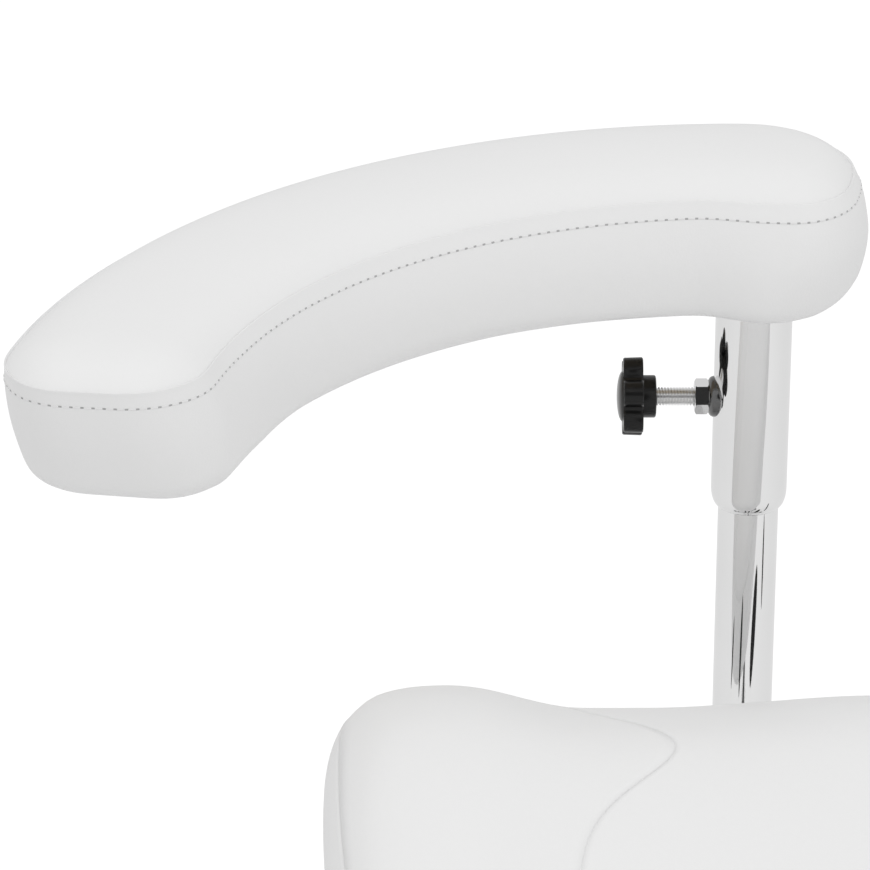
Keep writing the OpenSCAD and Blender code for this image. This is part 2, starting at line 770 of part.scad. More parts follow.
module seat_shell() {
    shares = [each seat_under_shares, shell_edge_share];
    rings = [for (s = shares) shell_ring(s, -shell_wall),
        for (j = [len(shares) - 1 : -1 : 0]) shell_ring(shares[j], 0)];
    color(black) difference() {
        seat_loft(rings, plate_top_z, shell_top_z);
        at_seat_bolts() translate([0, 0, plate_top_z - over])
            cylinder(r = insert_r + seat_fit, h = shell_wall + 2 * over);
        translate([-plate_rear - soft_gap, -plate_half_w - soft_gap, plate_z - plate_half_w])
            cube([plate_rear + plate_front + 2 * soft_gap, 2 * (plate_half_w + soft_gap),
                plate_half_w + plate_t + seat_fit]);
    }
}

module seat_cushion() {
    under = [for (s = [each seat_under_shares, shell_edge_share]) shell_ring(s, soft_gap)];
    band = [for (row = seat_band_shares) [for (i = [0 : seat_points - 1])
        let (q = seat_outline[i] + row[0] * seat_bulge * seat_normals[i])
        [q[0], q[1], saddle_z(seat_outline[i], 1) - row[1] * seat_band]]];
    crown = [for (s = seat_top_shares) [for (i = [0 : seat_points - 1])
        let (q = seat_scaled(i, s)) [q[0], q[1], saddle_z(q, s)]]];
    color(white) seat_loft([each under, each band, each crown], shell_top_z + soft_gap, saddle_z(seat_mid, 0),
        len(under) - 1);
}

// Arm: a collar that turns on the spigot, and a bent tube that rises beside the seat
module arm_collar() {
    color(chrome) translate([0, 0, collar_z]) tube(spigot_r + collar_wall, spigot_r + run_fit, collar_h);
}

module arm_tube() {
    inner = post_r - post_wall;
    straight = arm_reach - arm_bend_r;
    color(chrome) {
        difference() {
            translate([0, spigot_r, arm_z]) along_y(post_r, straight - spigot_r);
            translate([0, spigot_r - over, arm_z]) along_y(inner, straight);
            translate([0, 0, collar_z - over]) cylinder(r = spigot_r + collar_wall, h = collar_h + 2 * over);
        }
        translate([0, straight, arm_z + arm_bend_r]) rotate([0, 90, 0]) rotate_extrude(angle = 90)
            translate([arm_bend_r, 0]) difference() {
                circle(r = post_r);
                circle(r = inner);
            }
        translate([0, arm_reach, arm_z + arm_bend_r])
            tube(post_r, inner, post_top_z - plug_cap_t - arm_z - arm_bend_r);
    }
}

module post_plug() {
    color(black) translate([0, arm_reach, post_top_z - plug_cap_t]) {
        translate([0, 0, -plug_len]) cylinder(r = post_r - post_wall - seat_fit, h = plug_len);
        cylinder(r = post_r, h = plug_cap_t);
    }
}

module guide_bushes() {
    color(nylon) {
        translate([0, arm_reach, low_bush_z])
            tube(sleeve_in_r - run_fit, post_r + run_fit, low_bush_h);
        translate([0, arm_reach, high_bush_z])
            tube(sleeve_in_r - run_fit, post_r + run_fit, sleeve_top_z - soft_gap - high_bush_z);
    }
}

// Sleeve with a swaged lower rim, and the nut welded to its side
module arm_sleeve() {
    rim = sleeve_r - post_r - 2 * run_fit;
    rim_steps = 6;
    color(chrome) difference() {
        union() {
            translate([0, arm_reach, sleeve_z]) rotate_extrude() polygon([
                [post_r + run_fit, 0],
                for (i = [0 : rim_steps]) let (a = i * 90 / rim_steps)
                    [post_r + 2 * run_fit + rim * sin(a), sleeve_rim_h * (1 - cos(a))],
                [sleeve_r, sleeve_top_z - sleeve_z], [sleeve_in_r, sleeve_top_z - sleeve_z],
                [sleeve_in_r, sleeve_rim_h], [post_r + run_fit, sleeve_rim_h - 2 * sleeve_wall]]);
            difference() {
                towards_knob(weld_r, sleeve_in_r, nut_x - sleeve_in_r);
                translate([0, arm_reach, sleeve_z]) cylinder(r = sleeve_r - over / 2, h = sleeve_top_z - sleeve_z);
            }
        }
        towards_knob(screw_r + run_fit, post_r, nut_x);
    }
}

module clamp_nut() {
    color(zinc) difference() {
        hexagon_towards_knob(nut_af, nut_x, nut_t);
        towards_knob(screw_r + run_fit, nut_x - over, nut_t + 2 * over);
    }
}

module clamp_shoe() {
    color(brass) towards_knob(shoe_r, post_r + run_fit, shoe_t);
}

module clamp_screw() {
    tip = post_r + 2 * run_fit + shoe_t;
    head_x = hub_x + knob_hub_t + knob_floor;
    color(zinc) {
        towards_knob(screw_r, tip, head_x - tip);
        hexagon_towards_knob(nut_af, head_x, head_t);
    }
}

module star_knob() {
    head_x = hub_x + knob_hub_t + knob_floor;
    color(black) difference() {
        union() {
            towards_knob(knob_hub_r, hub_x, knob_hub_t);
            translate([-hub_x - knob_hub_t, arm_reach, clamp_z]) rotate([0, -90, 0])
                linear_extrude(knob_t) union() {
                    circle(r = knob_core_r);
                    for (i = [0 : knob_lobes - 1]) rotate(i * 360 / knob_lobes)
                        translate([knob_d / 2 - knob_lobe_r, 0]) circle(r = knob_lobe_r);
                }
        }
        towards_knob(screw_r + seat_fit, hub_x - over, knob_hub_t + knob_t);
        hexagon_towards_knob(nut_af + 2 * seat_fit, head_x - seat_fit, knob_t);
    }
}

module knob_cap() {
    color(black) translate([-hub_x - knob_hub_t - knob_t, arm_reach, clamp_z]) rotate([0, -90, 0])
        rotate_extrude() polygon([[0, 0], [knob_cap_r, 0],
            for (a = [0 : 15 : 75]) [knob_cap_r * cos(a), knob_cap_t * sin(a)], [0, knob_cap_t]]);
}

// Pad: an arc about the column, with its own corner radius at each end of each side
function corner(d, r) = d >= r ? 0 : r - sqrt(max(0, r * r - (r - d) * (r - d)));
function pad_deg(u) = -pad_front_deg
    + (pad_front_deg + pad_back_deg) * (u - end_density_share * sin(360 * u) / (2 * PI));
function front_dist(a) = (a + pad_front_deg) * PI / 180 * pad_mid_r;
function back_dist(a) = (pad_back_deg - a) * PI / 180 * pad_mid_r;
function pad_in(a, inset) = pad_in_r + inset + corner(front_dist(a), pad_corner_in_front)
    + corner(back_dist(a), pad_corner_in_back);
function pad_out(a, inset) = pad_out_r - inset - corner(front_dist(a), pad_corner_out_front)
    - corner(back_dist(a), pad_corner_out_back);
function on_pad(a, r) = [-pad_offset - r * sin(a), r * cos(a)];
function inset_deg(a, d) = let (e = d / pad_mid_r * 180 / PI)
    min(pad_back_deg - e, max(-pad_front_deg + e, a));

pad_degs = [for (i = [0 : pad_steps]) pad_deg(i / pad_steps)];
function undercut(a, h) = a
    - (1 - h) * pad_undercut_deg * pow(max(0, a + pad_front_deg) / (pad_front_deg + pad_back_deg), undercut_power);
function pad_outline_at(h) = [for (a = pad_degs) on_pad(undercut(a, h), pad_in(a, 0)),
    for (i = [pad_steps : -1 : 0]) on_pad(undercut(pad_degs[i], h), pad_out(pad_degs[i], 0))];
pad_outline = [for (a = pad_degs) on_pad(a, pad_in(a, 0)),
    for (i = [pad_steps : -1 : 0]) on_pad(pad_degs[i], pad_out(pad_degs[i], 0))];
pad_count = len(pad_outline);
pad_normals = [for (i = [0 : pad_count - 1]) -normal_of(pad_outline, i)];
pad_middle = [for (a = pad_degs) on_pad(inset_deg(a, pad_end_inset), pad_mid_r),
    for (i = [pad_steps : -1 : 0]) on_pad(inset_deg(pad_degs[i], pad_end_inset), pad_mid_r)];

function banana(inset) = [
    for (a = pad_degs) let (b = inset_deg(a, inset)) on_pad(undercut(b, 0), pad_in(b, inset)),
    for (i = [pad_steps : -1 : 0]) let (b = inset_deg(pad_degs[i], inset)) on_pad(undercut(b, 0), pad_out(b, inset))];

module pad_body() {
    band = [for (row = pad_band_shares) let (ring = pad_outline_at(row[1])) [for (i = [0 : pad_count - 1])
        let (q = ring[i] + row[0] * pad_bulge * pad_normals[i])
        [q[0], q[1], pad_z + row[1] * pad_depth]]];
    crown = [for (row = pad_crown_shares) [for (i = [0 : pad_count - 1])
        let (q = pad_middle[i] + row[0] * (pad_outline[i] - pad_middle[i]))
        [q[0], q[1], pad_z + pad_depth + row[1] * pad_crown]]];
    rings = [each band, each crown];
    count = len(rings);
    polyhedron(
        points = [for (ring = rings) each ring],
        faces = [each ring_faces(pad_count, count), each strip_faces(pad_count, 0, true),
            each strip_faces(pad_count, (count - 1) * pad_count, false)]);
}

module pad_board_shape(inset, z, h) {
    translate([0, 0, z]) linear_extrude(h) polygon(banana(inset));
}

module pad_cushion() {
    color(white) difference() {
        pad_body();
        pad_board_shape(board_inset - soft_gap, pad_z - over, pad_board_t + soft_gap + over);
    }
}

module at_pad_screws() {
    for (x = [-pad_screw_x, pad_screw_x], y = [-pad_screw_y, pad_screw_y])
        translate([x, arm_reach + y, 0]) children();
}

module pad_board() {
    color(plywood) difference() {
        pad_board_shape(board_inset, pad_z, pad_board_t);
        at_pad_screws() translate([0, 0, pad_z - over])
            cylinder(r = pad_screw_r + seat_fit, h = pad_screw_len + over);
    }
}

module pad_plate() {
    color(zinc) translate([0, 0, sleeve_top_z]) difference() {
        translate([-pad_plate_half_x, arm_reach - pad_plate_half_y, 0])
            cube([2 * pad_plate_half_x, 2 * pad_plate_half_y, pad_plate_t]);
        at_pad_screws() translate([0, 0, -over]) cylinder(r = pad_screw_r + 2 * run_fit, h = pad_plate_t + 2 * over);
    }
}

module pad_screws() {
    color(zinc) at_pad_screws() {
        translate([0, 0, sleeve_top_z]) cylinder(r = pad_screw_r, h = pad_plate_t + pad_screw_len);
        translate([0, 0, sleeve_top_z - pad_screw_head_t]) cylinder(r = pad_screw_head_r, h = pad_screw_head_t);
    }
}

star_base();
castor_stems();
column_tube();
column_bush();
thrust_bearing();
castor_hood(0);  // castor_1_hood
castor_hood(1);  // castor_2_hood
castor_hood(2);  // castor_3_hood
castor_hood(3);  // castor_4_hood
castor_hood(4);  // castor_5_hood
castor_axle(0);  // castor_1_axle
castor_axle(1);  // castor_2_axle
castor_axle(2);  // castor_3_axle
castor_axle(3);  // castor_4_axle
castor_axle(4);  // castor_5_axle
castor_wheels(0);  // castor_1_wheels
castor_wheels(1);  // castor_2_wheels
castor_wheels(2);  // castor_3_wheels
castor_wheels(3);  // castor_4_wheels
castor_wheels(4);  // castor_5_wheels
piston_rod();
piston_head();
rod_clip();
gas_cylinder();
release_pin();
mechanism_housing();
swing_ring();
height_lever();
height_grip();
tilt_lever();
tilt_grip();
seat_plate();
pivot_pin();
seat_shell();
seat_cushion();
seat_bolts();
seat_inserts();
arm_collar();
arm_tube();
post_plug();
guide_bushes();
arm_sleeve();
clamp_nut();
pad_plate();
pad_screws();
pad_board();
pad_cushion();
clamp_shoe();
clamp_screw();
star_knob();
knob_cap();
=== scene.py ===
import math

import bmesh
import bpy
import numpy as np
from mathutils import Matrix, Vector
from mathutils.kdtree import KDTree


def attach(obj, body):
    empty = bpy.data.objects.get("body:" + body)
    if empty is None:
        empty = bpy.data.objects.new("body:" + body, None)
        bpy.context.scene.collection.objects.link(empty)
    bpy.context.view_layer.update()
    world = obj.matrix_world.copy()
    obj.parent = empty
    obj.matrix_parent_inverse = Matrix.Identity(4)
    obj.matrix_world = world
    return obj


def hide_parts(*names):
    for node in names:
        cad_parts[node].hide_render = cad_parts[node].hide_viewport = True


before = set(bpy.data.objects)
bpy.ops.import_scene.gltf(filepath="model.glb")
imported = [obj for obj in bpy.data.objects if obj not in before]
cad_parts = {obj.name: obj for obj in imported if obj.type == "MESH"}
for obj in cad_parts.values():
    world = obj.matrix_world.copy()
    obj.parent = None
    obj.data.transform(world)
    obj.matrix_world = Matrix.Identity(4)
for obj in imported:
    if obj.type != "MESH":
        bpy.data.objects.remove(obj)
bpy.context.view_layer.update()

# Camera and room: a long lens looks down on the arm rest from the sitter's right, in an all-white room.
# Lens, mirror-like metal and glass see a plain white room, and the floor keeps the chair's shadow.
eye = bpy.data.cameras.new("camera")
eye.sensor_width = 36
eye.lens = 192.95
camera = bpy.data.objects.new("camera", eye)
camera.location = (-0.1319, -1.5217, 1.3965)
camera.rotation_euler = (math.radians(65), 0, 0)
bpy.context.scene.collection.objects.link(camera)
bpy.context.scene.camera = camera
bpy.context.scene.view_settings.view_transform = "Standard"


class Signal:
    """One value in a material. Its operators add the Math nodes that work it out."""

    def __init__(self, socket):
        self.socket = socket

    def node(self, kind, settings, sockets, output=0):
        """Adds a node of any kind beside this value and gives the value that it puts out."""
        tree = self.socket.id_data
        made = tree.nodes.new(kind)
        for name, setting in settings.items():
            if name == "stops":
                ramp = made.color_ramp.elements
                while len(ramp) < len(setting):
                    ramp.new(1)
                for stop, (position, grey) in zip(ramp, setting):
                    stop.position, stop.color = position, (grey, grey, grey, 1)
            else:
                setattr(made, name, setting)
        for name, value in sockets.items():
            if isinstance(value, Signal):
                tree.links.new(value.socket, made.inputs[name])
            else:
                made.inputs[name].default_value = value
        return Signal(made.outputs[output])

    def math(self, operation, first, second):
        return self.node("ShaderNodeMath", {"operation": operation}, {0: first, 1: second})

    def __add__(self, other):
        return self.math("ADD", self, other)

    def __sub__(self, other):
        return self.math("SUBTRACT", self, other)

    def __rsub__(self, other):
        return self.math("SUBTRACT", other, self)

    def __mul__(self, other):
        return self.math("MULTIPLY", self, other)

    def highest(self, other):
        return self.math("MAXIMUM", self, other)

    __radd__ = __add__
    __rmul__ = __mul__


MIRRORED_LIGHT = 0.25


def seen_directly(tree):
    """1 for rays of the lens and of glass, a share of it for those of mirrors, and 0 for the light on things."""
    rays = tree.nodes.new("ShaderNodeLightPath").outputs
    return Signal(rays["Is Camera Ray"]).highest(Signal(rays["Is Glossy Ray"]) * MIRRORED_LIGHT).highest(
        Signal(rays["Is Transmission Ray"]))


room = bpy.data.worlds.new("white_room")
bpy.context.scene.world = room
room.use_nodes = True
sky = room.node_tree
ROOM_LIGHT = 0.74
direct = seen_directly(sky)
sky_light = sky.nodes["Background"]
sky_light.inputs["Color"].default_value = (1, 1, 1, 1)
sky.links.new(direct.highest(ROOM_LIGHT).socket, sky_light.inputs["Strength"])

bpy.ops.mesh.primitive_plane_add(size=40, location=(0, 0, 0))
floor = bpy.context.object
floor.name = "floor"
paper = bpy.data.materials.new("white_paper")
paper.use_nodes = True
shade = paper.node_tree
shade.nodes.remove(shade.nodes["Principled BSDF"])
direct = seen_directly(shade)
matt = direct.node("ShaderNodeBsdfDiffuse", {}, {"Color": (0.88, 0.88, 0.88, 1)})
glow = direct.node("ShaderNodeEmission", {}, {"Color": (1, 1, 1, 1), "Strength": 0.62})
half_matt = direct.node("ShaderNodeBsdfDiffuse", {}, {"Color": (0.55, 0.55, 0.55, 1)})
bright = direct.node("ShaderNodeAddShader", {}, {0: glow, 1: half_matt})
surface = direct.node("ShaderNodeMixShader", {}, {0: direct, 1: matt, 2: bright})
shade.links.new(surface.socket, shade.nodes["Material Output"].inputs["Surface"])
floor.data.materials.append(paper)

for name, place, width, power in [
        ("ceiling_softbox", (-0.4, -0.5, 2.6), 2.2, 11),
        ("front_softbox", (1.6, -2.0, 1.6), 1.6, 8)]:
    lamp = bpy.data.lights.new(name, "AREA")
    lamp.size, lamp.energy = width, power
    softbox = bpy.data.objects.new(name, lamp)
    softbox.location = place
    softbox.rotation_euler = (Vector((-0.1, 0.1, 0.6)) - Vector(place)).to_track_quat("-Z", "Y").to_euler()
    softbox.visible_camera = softbox.visible_glossy = False
    bpy.context.scene.collection.objects.link(softbox)

# Things that only polished metal sees: the dark shape of the camera's operator, and black cards beside the post,
# which a photographer sets there to draw dark streaks down bare chrome.
dark = bpy.data.materials.new("dark_cloth")
dark.use_nodes = True
dark.node_tree.nodes["Principled BSDF"].inputs["Base Color"].default_value = (0.02, 0.02, 0.02, 1)
dark.node_tree.nodes["Principled BSDF"].inputs["Roughness"].default_value = 0.9
for name, place, width, height, turn, lean in [
        ("camera_operator", (0.02, -2.3, 1.70), 1.1, 1.9, 0, 0),
        ("wide_card", (0.0277, 0.1928, 0.465), 0.014, 0.060, 27.5, 11),
        ("right_card", (0.0491, 0.2116, 0.495), 0.005, 0.046, 55, 0),
        ("middle_card", (-0.0145, 0.1878, 0.456), 0.006, 0.050, -14, 4),
        ("left_card", (-0.0401, 0.2014, 0.452), 0.004, 0.036, -42, 6)]:
    bpy.ops.mesh.primitive_circle_add(vertices=48, radius=0.5, fill_type="NGON")
    card = bpy.context.object
    card.name = name
    card.data.transform(Matrix.Translation(place) @ Matrix.Rotation(math.radians(turn), 4, "Z")
                        @ Matrix.Rotation(math.radians(lean), 4, "Y") @ Matrix.Rotation(math.radians(90), 4, "X")
                        @ Matrix.Diagonal((width, height, 1, 1)))
    card.data.materials.append(dark)
    card.visible_camera = card.visible_diffuse = card.visible_transmission = card.visible_shadow = False


# Star base: five hollow pressed arms welded to a turned hub, polished and chrome plated all over.
# Each arm is drawn out from the hub, domed over the castor's stem and open underneath.
def colour(grey, share=1):
    """The colour of a grey or a colour, darker or lighter by a share of it."""
    return tuple(min(1, c * share) for c in (grey if isinstance(grey, tuple) else (grey,) * 3))


class Finish:
    """A material with one Principled shader, whose patterns lie in the piece's own space."""

    def __init__(self, name, grey, roughness, **constants):
        self.material = bpy.data.materials.new(name)
        self.material.use_nodes = True
        self.tree = self.material.node_tree
        self.shader = self.tree.nodes["Principled BSDF"]
        self.shader.inputs["Base Color"].default_value = (*colour(grey), 1)
        self.shader.inputs["Roughness"].default_value = roughness
        for socket, value in constants.items():
            self.shader.inputs[socket.replace("_", " ")].default_value = value
        self.place = Signal(self.tree.nodes.new("ShaderNodeTexCoord").outputs["Object"])

    def feed(self, socket, value):
        self.tree.links.new(value.socket, self.shader.inputs[socket])

    def noise(self, scale, detail=2.0, stretch=(1, 1, 1)):
        place = self.place.node("ShaderNodeMapping", {}, {"Vector": self.place, "Scale": stretch})
        return place.node("ShaderNodeTexNoise", {}, {"Vector": place, "Scale": scale, "Detail": detail})

    def vary_grey(self, mask, low, high):
        ends = {0: mask, 6: (*colour(low), 1), 7: (*colour(high), 1)}
        self.feed("Base Color", mask.node("ShaderNodeMix", {"data_type": "RGBA"}, ends, 2))

    def relief(self, height, depth):
        self.feed("Normal", height.node("ShaderNodeBump", {}, {"Height": height, "Distance": depth}))


def metal(name, grey, roughness, smear, stretch=(1, 1, 1)):
    """Plated or bare metal with faint smears of handling and fine polishing marks."""
    made = Finish(name, grey, roughness, Metallic=1.0)
    smears, marks = made.noise(22, 3, stretch), made.noise(900, 1, stretch)
    made.feed("Roughness", smears * smear + marks * (smear / 3) + roughness - smear / 2)
    made.vary_grey(smears, colour(grey, 0.96), colour(grey, 1.03))
    return made.material


def choose(*pieces):
    """Leaves edit mode and selects these pieces alone, with the first of them active."""
    if bpy.context.object and bpy.context.object.mode == "EDIT":
        bpy.ops.object.mode_set(mode="OBJECT")
    bpy.ops.object.select_all(action="DESELECT")
    for piece in reversed(pieces):
        piece.select_set(True)
        bpy.context.view_layer.objects.active = piece


def apply(piece, kind, **settings):
    """Adds a modifier to a piece and applies it."""
    choose(piece)
    modifier = piece.modifiers.new(kind.lower(), kind)
    for name, value in settings.items():
        setattr(modifier, name, value)
    bpy.ops.object.modifier_apply(modifier=modifier.name)


def begin(name, primitive, **settings):
    """Adds a primitive, deselected from all else, and opens it in edit mode."""
    choose()
    getattr(bpy.ops.mesh, "primitive_" + primitive + "_add")(**settings)
    piece = bpy.context.object
    piece.name = name
    bpy.ops.object.transform_apply()
    bpy.ops.object.mode_set(mode="EDIT")
    return piece


def draw_out(move, grow=(1, 1, 1), about=(0, 0, 0)):
    """Extrudes what is selected, and resizes its new end about a point."""
    bpy.ops.mesh.extrude_region_move(TRANSFORM_OT_translate={"value": move})
    if grow != (1, 1, 1):
        bpy.ops.transform.resize(value=grow, center_override=about)


def turned(name, profile, segments=64, hollow=False):
    """A piece turned along Z: a circle drawn out through radii and heights. A hollow one ends where it began."""
    (radius, height), *rest = profile
    piece = begin(name, "circle", vertices=segments, radius=radius, location=(0, 0, height),
                  fill_type="NOTHING" if hollow else "NGON")
    for wider, higher in rest:
        draw_out((0, 0, higher - height), (wider / radius, wider / radius, 1), (0, 0, higher))
        radius, height = wider, higher
    bpy.ops.object.mode_set(mode="OBJECT")
    return piece


def placed(piece, turn, at):
    """Turns and moves the mesh of a piece that was made upright at the origin."""
    piece.data.transform(Matrix.Translation(at) @ turn)
    return piece


def finish_piece(piece, name, material, body, stands_for=(), angle=35):
    """Closes a piece: its normals, its shading, its finish, its body and the solids that it stands for."""
    choose(piece)
    piece.name = piece.data.name = name
    mesh = bmesh.new()
    mesh.from_mesh(piece.data)
    bmesh.ops.remove_doubles(mesh, verts=mesh.verts, dist=1e-6)
    bmesh.ops.recalc_face_normals(mesh, faces=mesh.faces)
    mesh.to_mesh(piece.data)
    mesh.free()
    piece.data.materials.clear()
    piece.data.materials.append(material)
    bpy.ops.object.shade_smooth_by_angle(angle=math.radians(angle))
    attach(piece, body)
    if stands_for:
        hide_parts(*stands_for)


def linked(name, data):
    """Puts a mesh in the scene as a piece of its own."""
    piece = bpy.data.objects.new(name, data)
    bpy.context.scene.collection.objects.link(piece)
    return piece


def copy_round(piece, turns):
    """Copies a piece's mesh by turns about the upright axis, in degrees, and gives the new pieces."""
    made = []
    for turn in turns:
        made.append(linked(piece.name, piece.data.copy()))
        made[-1].data.transform(Matrix.Rotation(math.radians(turn), 4, "Z"))
    return made


def join(pieces):
    """Joins pieces into the first of them."""
    choose(*pieces)
    bpy.ops.object.join()
    return pieces[0]


cast_chrome = metal("polished_cast_chrome", 0.62, 0.07, 0.05)
HUB_LOW, HUB_HIGH, HUB_RADIUS, COLUMN_BORE = 0.062, 0.122, 0.036, 0.0251
ARM_REACH, ARM_ROOT, ARM_LOW, SHEET = 0.275, 0.0265, 0.0605, 0.0026
ARM_STATIONS = [(0.034, 0.0228, 0.0435), (0.060, 0.0210, 0.0400), (0.105, 0.0186, 0.0345), (0.160, 0.0163, 0.0285),
                (0.215, 0.0144, 0.0232), (0.255, 0.0133, 0.0196), (0.272, 0.0130, 0.0180), (0.2792, 0.0121, 0.0168),
                (0.2845, 0.0094, 0.0142), (0.2875, 0.0056, 0.0102), (0.2883, 0.0018, 0.0060)]


def arch(half_width, height):
    """Half of a pressed arm's section, from its open foot to its ridge."""
    turns = np.radians(np.linspace(0, 90, 9))
    rise = min(height * 0.72, half_width * 1.05)
    return [(half_width, 0), (half_width, (height - rise) * 0.5), *(
        (half_width * math.cos(t) ** 0.86, height - rise + rise * math.sin(t)) for t in turns)]


leg = begin("leg", "plane", size=0.001, location=(ARM_ROOT, 0, ARM_LOW), rotation=(0, math.radians(90), 0))
bpy.ops.mesh.delete(type="VERT")
section = bmesh.from_edit_mesh(leg.data)
rows = []
for reach, half_width, height in [(ARM_ROOT, 0.0230, 0.0440), *ARM_STATIONS]:
    half = arch(half_width, height)
    across = half + [(-y, z) for y, z in half[-2::-1]]
    rows.append([section.verts.new((reach, y, ARM_LOW + z)) for y, z in across])
for near, far in zip(rows[:-1], rows[1:]):
    for i in range(len(near) - 1):
        section.faces.new([near[i], near[i + 1], far[i + 1], far[i]])
section.faces.new(rows[-1])
bmesh.update_edit_mesh(leg.data)
bpy.ops.mesh.select_all(action="SELECT")
bpy.ops.mesh.normals_make_consistent(inside=False)
apply(leg, "SUBSURF", levels=1, render_levels=1)
apply(leg, "SOLIDIFY", thickness=SHEET, offset=-1, use_even_offset=True)
apply(leg, "BEVEL", width=0.0007, segments=2, limit_method="ANGLE", angle_limit=math.radians(60))
socket = placed(turned("socket", [(0.0056, 0), (0.0100, 0), (0.0106, 0.0006), (0.0106, 0.0095), (0.0056, 0.0095),
                                  (0.0056, 0)], 48, hollow=True), Matrix(), Vector((ARM_REACH, 0, 0.060)))
leg = join([leg, socket])
legs = copy_round(leg, [18 + 72 * i for i in range(5)])
bpy.data.objects.remove(leg)
hub = turned("hub", [(COLUMN_BORE, HUB_LOW), (HUB_RADIUS - 0.001, HUB_LOW), (HUB_RADIUS, HUB_LOW + 0.001),
                     (HUB_RADIUS, HUB_HIGH - 0.010), (HUB_RADIUS - 0.0006, HUB_HIGH - 0.0065),
                     (HUB_RADIUS - 0.0024, HUB_HIGH - 0.0030), (HUB_RADIUS - 0.0050, HUB_HIGH - 0.0008),
                     (HUB_RADIUS - 0.0080, HUB_HIGH), (COLUMN_BORE + 0.0008, HUB_HIGH),
                     (COLUMN_BORE, HUB_HIGH - 0.0008), (COLUMN_BORE, HUB_LOW)], 96, hollow=True)
base = join([hub, *legs])
finish_piece(base, "star_base_pressed", cast_chrome, "base", ["star_base"], angle=40)

# Castors: five twin-wheel castors under the arms, black moulded nylon hoods on zinc-plated stems.
# One hood and one pair of wheels are modelled, and copied to each arm at its own turn.
def coated(name, grey, roughness, pebble, depth, wear=0.04):
    """Paint or moulded plastic: a faint pebbled surface, and patches where hands have polished it."""
    made = Finish(name, grey, roughness)
    pebbles, patches = made.noise(pebble, 2), made.noise(18, 3)
    made.relief(pebbles, depth)
    made.feed("Roughness", patches * (2 * wear) + roughness - wear)
    made.vary_grey(patches, colour(grey, 0.93), colour(grey, 1.07))
    return made.material


def dress(names, material, edge=0.0004, angle=30):
    """Gives CAD nodes a finish, and rounds their sharp edges with modifiers that leave their meshes as they are."""
    for name in names:
        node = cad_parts[name]
        node.data.materials.clear()
        node.data.materials.append(material)
        choose(node)
        bpy.ops.mesh.customdata_custom_splitnormals_clear()
        bpy.ops.object.shade_smooth()
        node.modifiers.new("weld", "WELD").merge_threshold = 2e-6
        flat = node.modifiers.new("flat", "DECIMATE")
        flat.decimate_type, flat.angle_limit = "DISSOLVE", math.radians(0.5)
        if edge:
            bevel = node.modifiers.new("bevel", "BEVEL")
            bevel.width, bevel.segments, bevel.limit_method = edge, 2, "ANGLE"
            bevel.angle_limit, bevel.use_clamp_overlap = math.radians(50), True
        node.modifiers.new("split", "EDGE_SPLIT").split_angle = math.radians(angle)


black_plastic = coated("black_moulded_plastic", 0.026, 0.5, 1500, 0.00004)
zinc = metal("bright_zinc", (0.60, 0.60, 0.585), 0.30, 0.10)
steel = metal("ground_steel", (0.50, 0.50, 0.51), 0.24, 0.08, (1, 1, 40))

CASTOR_TURNS = [25, 160, 75, 215, 320]
CASTOR_TRAIL, WHEEL_RADIUS, WHEELS_APART = 0.020, 0.025, 0.0075
HOOD_RADIUS, HOOD_WALL, HOOD_HALF, HOOD_LOW = 0.026, 0.003, 0.0215, 0.003
across_castor = Matrix.Rotation(math.radians(-90), 4, "X")
axle = Vector((CASTOR_TRAIL, 0, WHEEL_RADIUS))
shell = placed(turned("shell", [(HOOD_RADIUS, -HOOD_HALF), (HOOD_RADIUS + 0.0018, -HOOD_HALF),
                                (HOOD_RADIUS + HOOD_WALL, -HOOD_HALF + 0.0014),
                                (HOOD_RADIUS + HOOD_WALL, HOOD_HALF - 0.0014),
                                (HOOD_RADIUS + 0.0018, HOOD_HALF), (HOOD_RADIUS, HOOD_HALF),
                                (HOOD_RADIUS, -HOOD_HALF)], 80, hollow=True), across_castor, axle)
bpy.ops.object.mode_set(mode="EDIT")
bpy.ops.mesh.select_all(action="SELECT")
bpy.ops.mesh.bisect(plane_co=(0, 0, HOOD_LOW), plane_no=(0, 0, 1), clear_inner=True, use_fill=True)
bpy.ops.mesh.select_all(action="SELECT")
bpy.ops.mesh.bisect(plane_co=(CASTOR_TRAIL + 0.0215, 0, 0), plane_no=(1, 0, -0.25), clear_outer=True, use_fill=True)
web = placed(turned("web", [(0.0034, -0.0068), (0.0205, -0.0068), (0.0216, -0.0060), (0.0216, 0.0060),
                            (0.0205, 0.0068), (0.0034, 0.0068)], 64), across_castor, axle)
block = begin("block", "cube", size=1, location=(0.0065, 0, 0.0395), scale=(0.027, 0.0136, 0.029))
neck = turned("neck", [(0.0088, 0.046), (0.0090, 0.0470), (0.0090, 0.0568), (0.0084, 0.0576), (0.0059, 0.0578),
                       (0.0057, 0.0560)], 64)
apply(block, "BEVEL", width=0.0015, segments=3)
hood = join([shell, web, block, neck])
apply(hood, "BEVEL", width=0.0005, segments=2, limit_method="ANGLE", angle_limit=math.radians(50))
WHEEL_PROFILE = [(0.0031, 0.0010), (0.0060, 0.0010), (0.0066, 0.0004), (0.0082, 0), (0.0215, 0), (0.0236, 0.0004),
                 (0.0247, 0.0016), (0.0250, 0.0034), (0.0250, 0.0106), (0.0247, 0.0124), (0.0236, 0.0136),
                 (0.0220, 0.0140), (0.0208, 0.0138), (0.0200, 0.0128), (0.0120, 0.0116), (0.0096, 0.0118),
                 (0.0088, 0.0128), (0.0078, 0.0132), (0.0054, 0.0131), (0.0048, 0.0124), (0.0031, 0.0122),
                 (0.0031, 0.0010)]
wheels = []
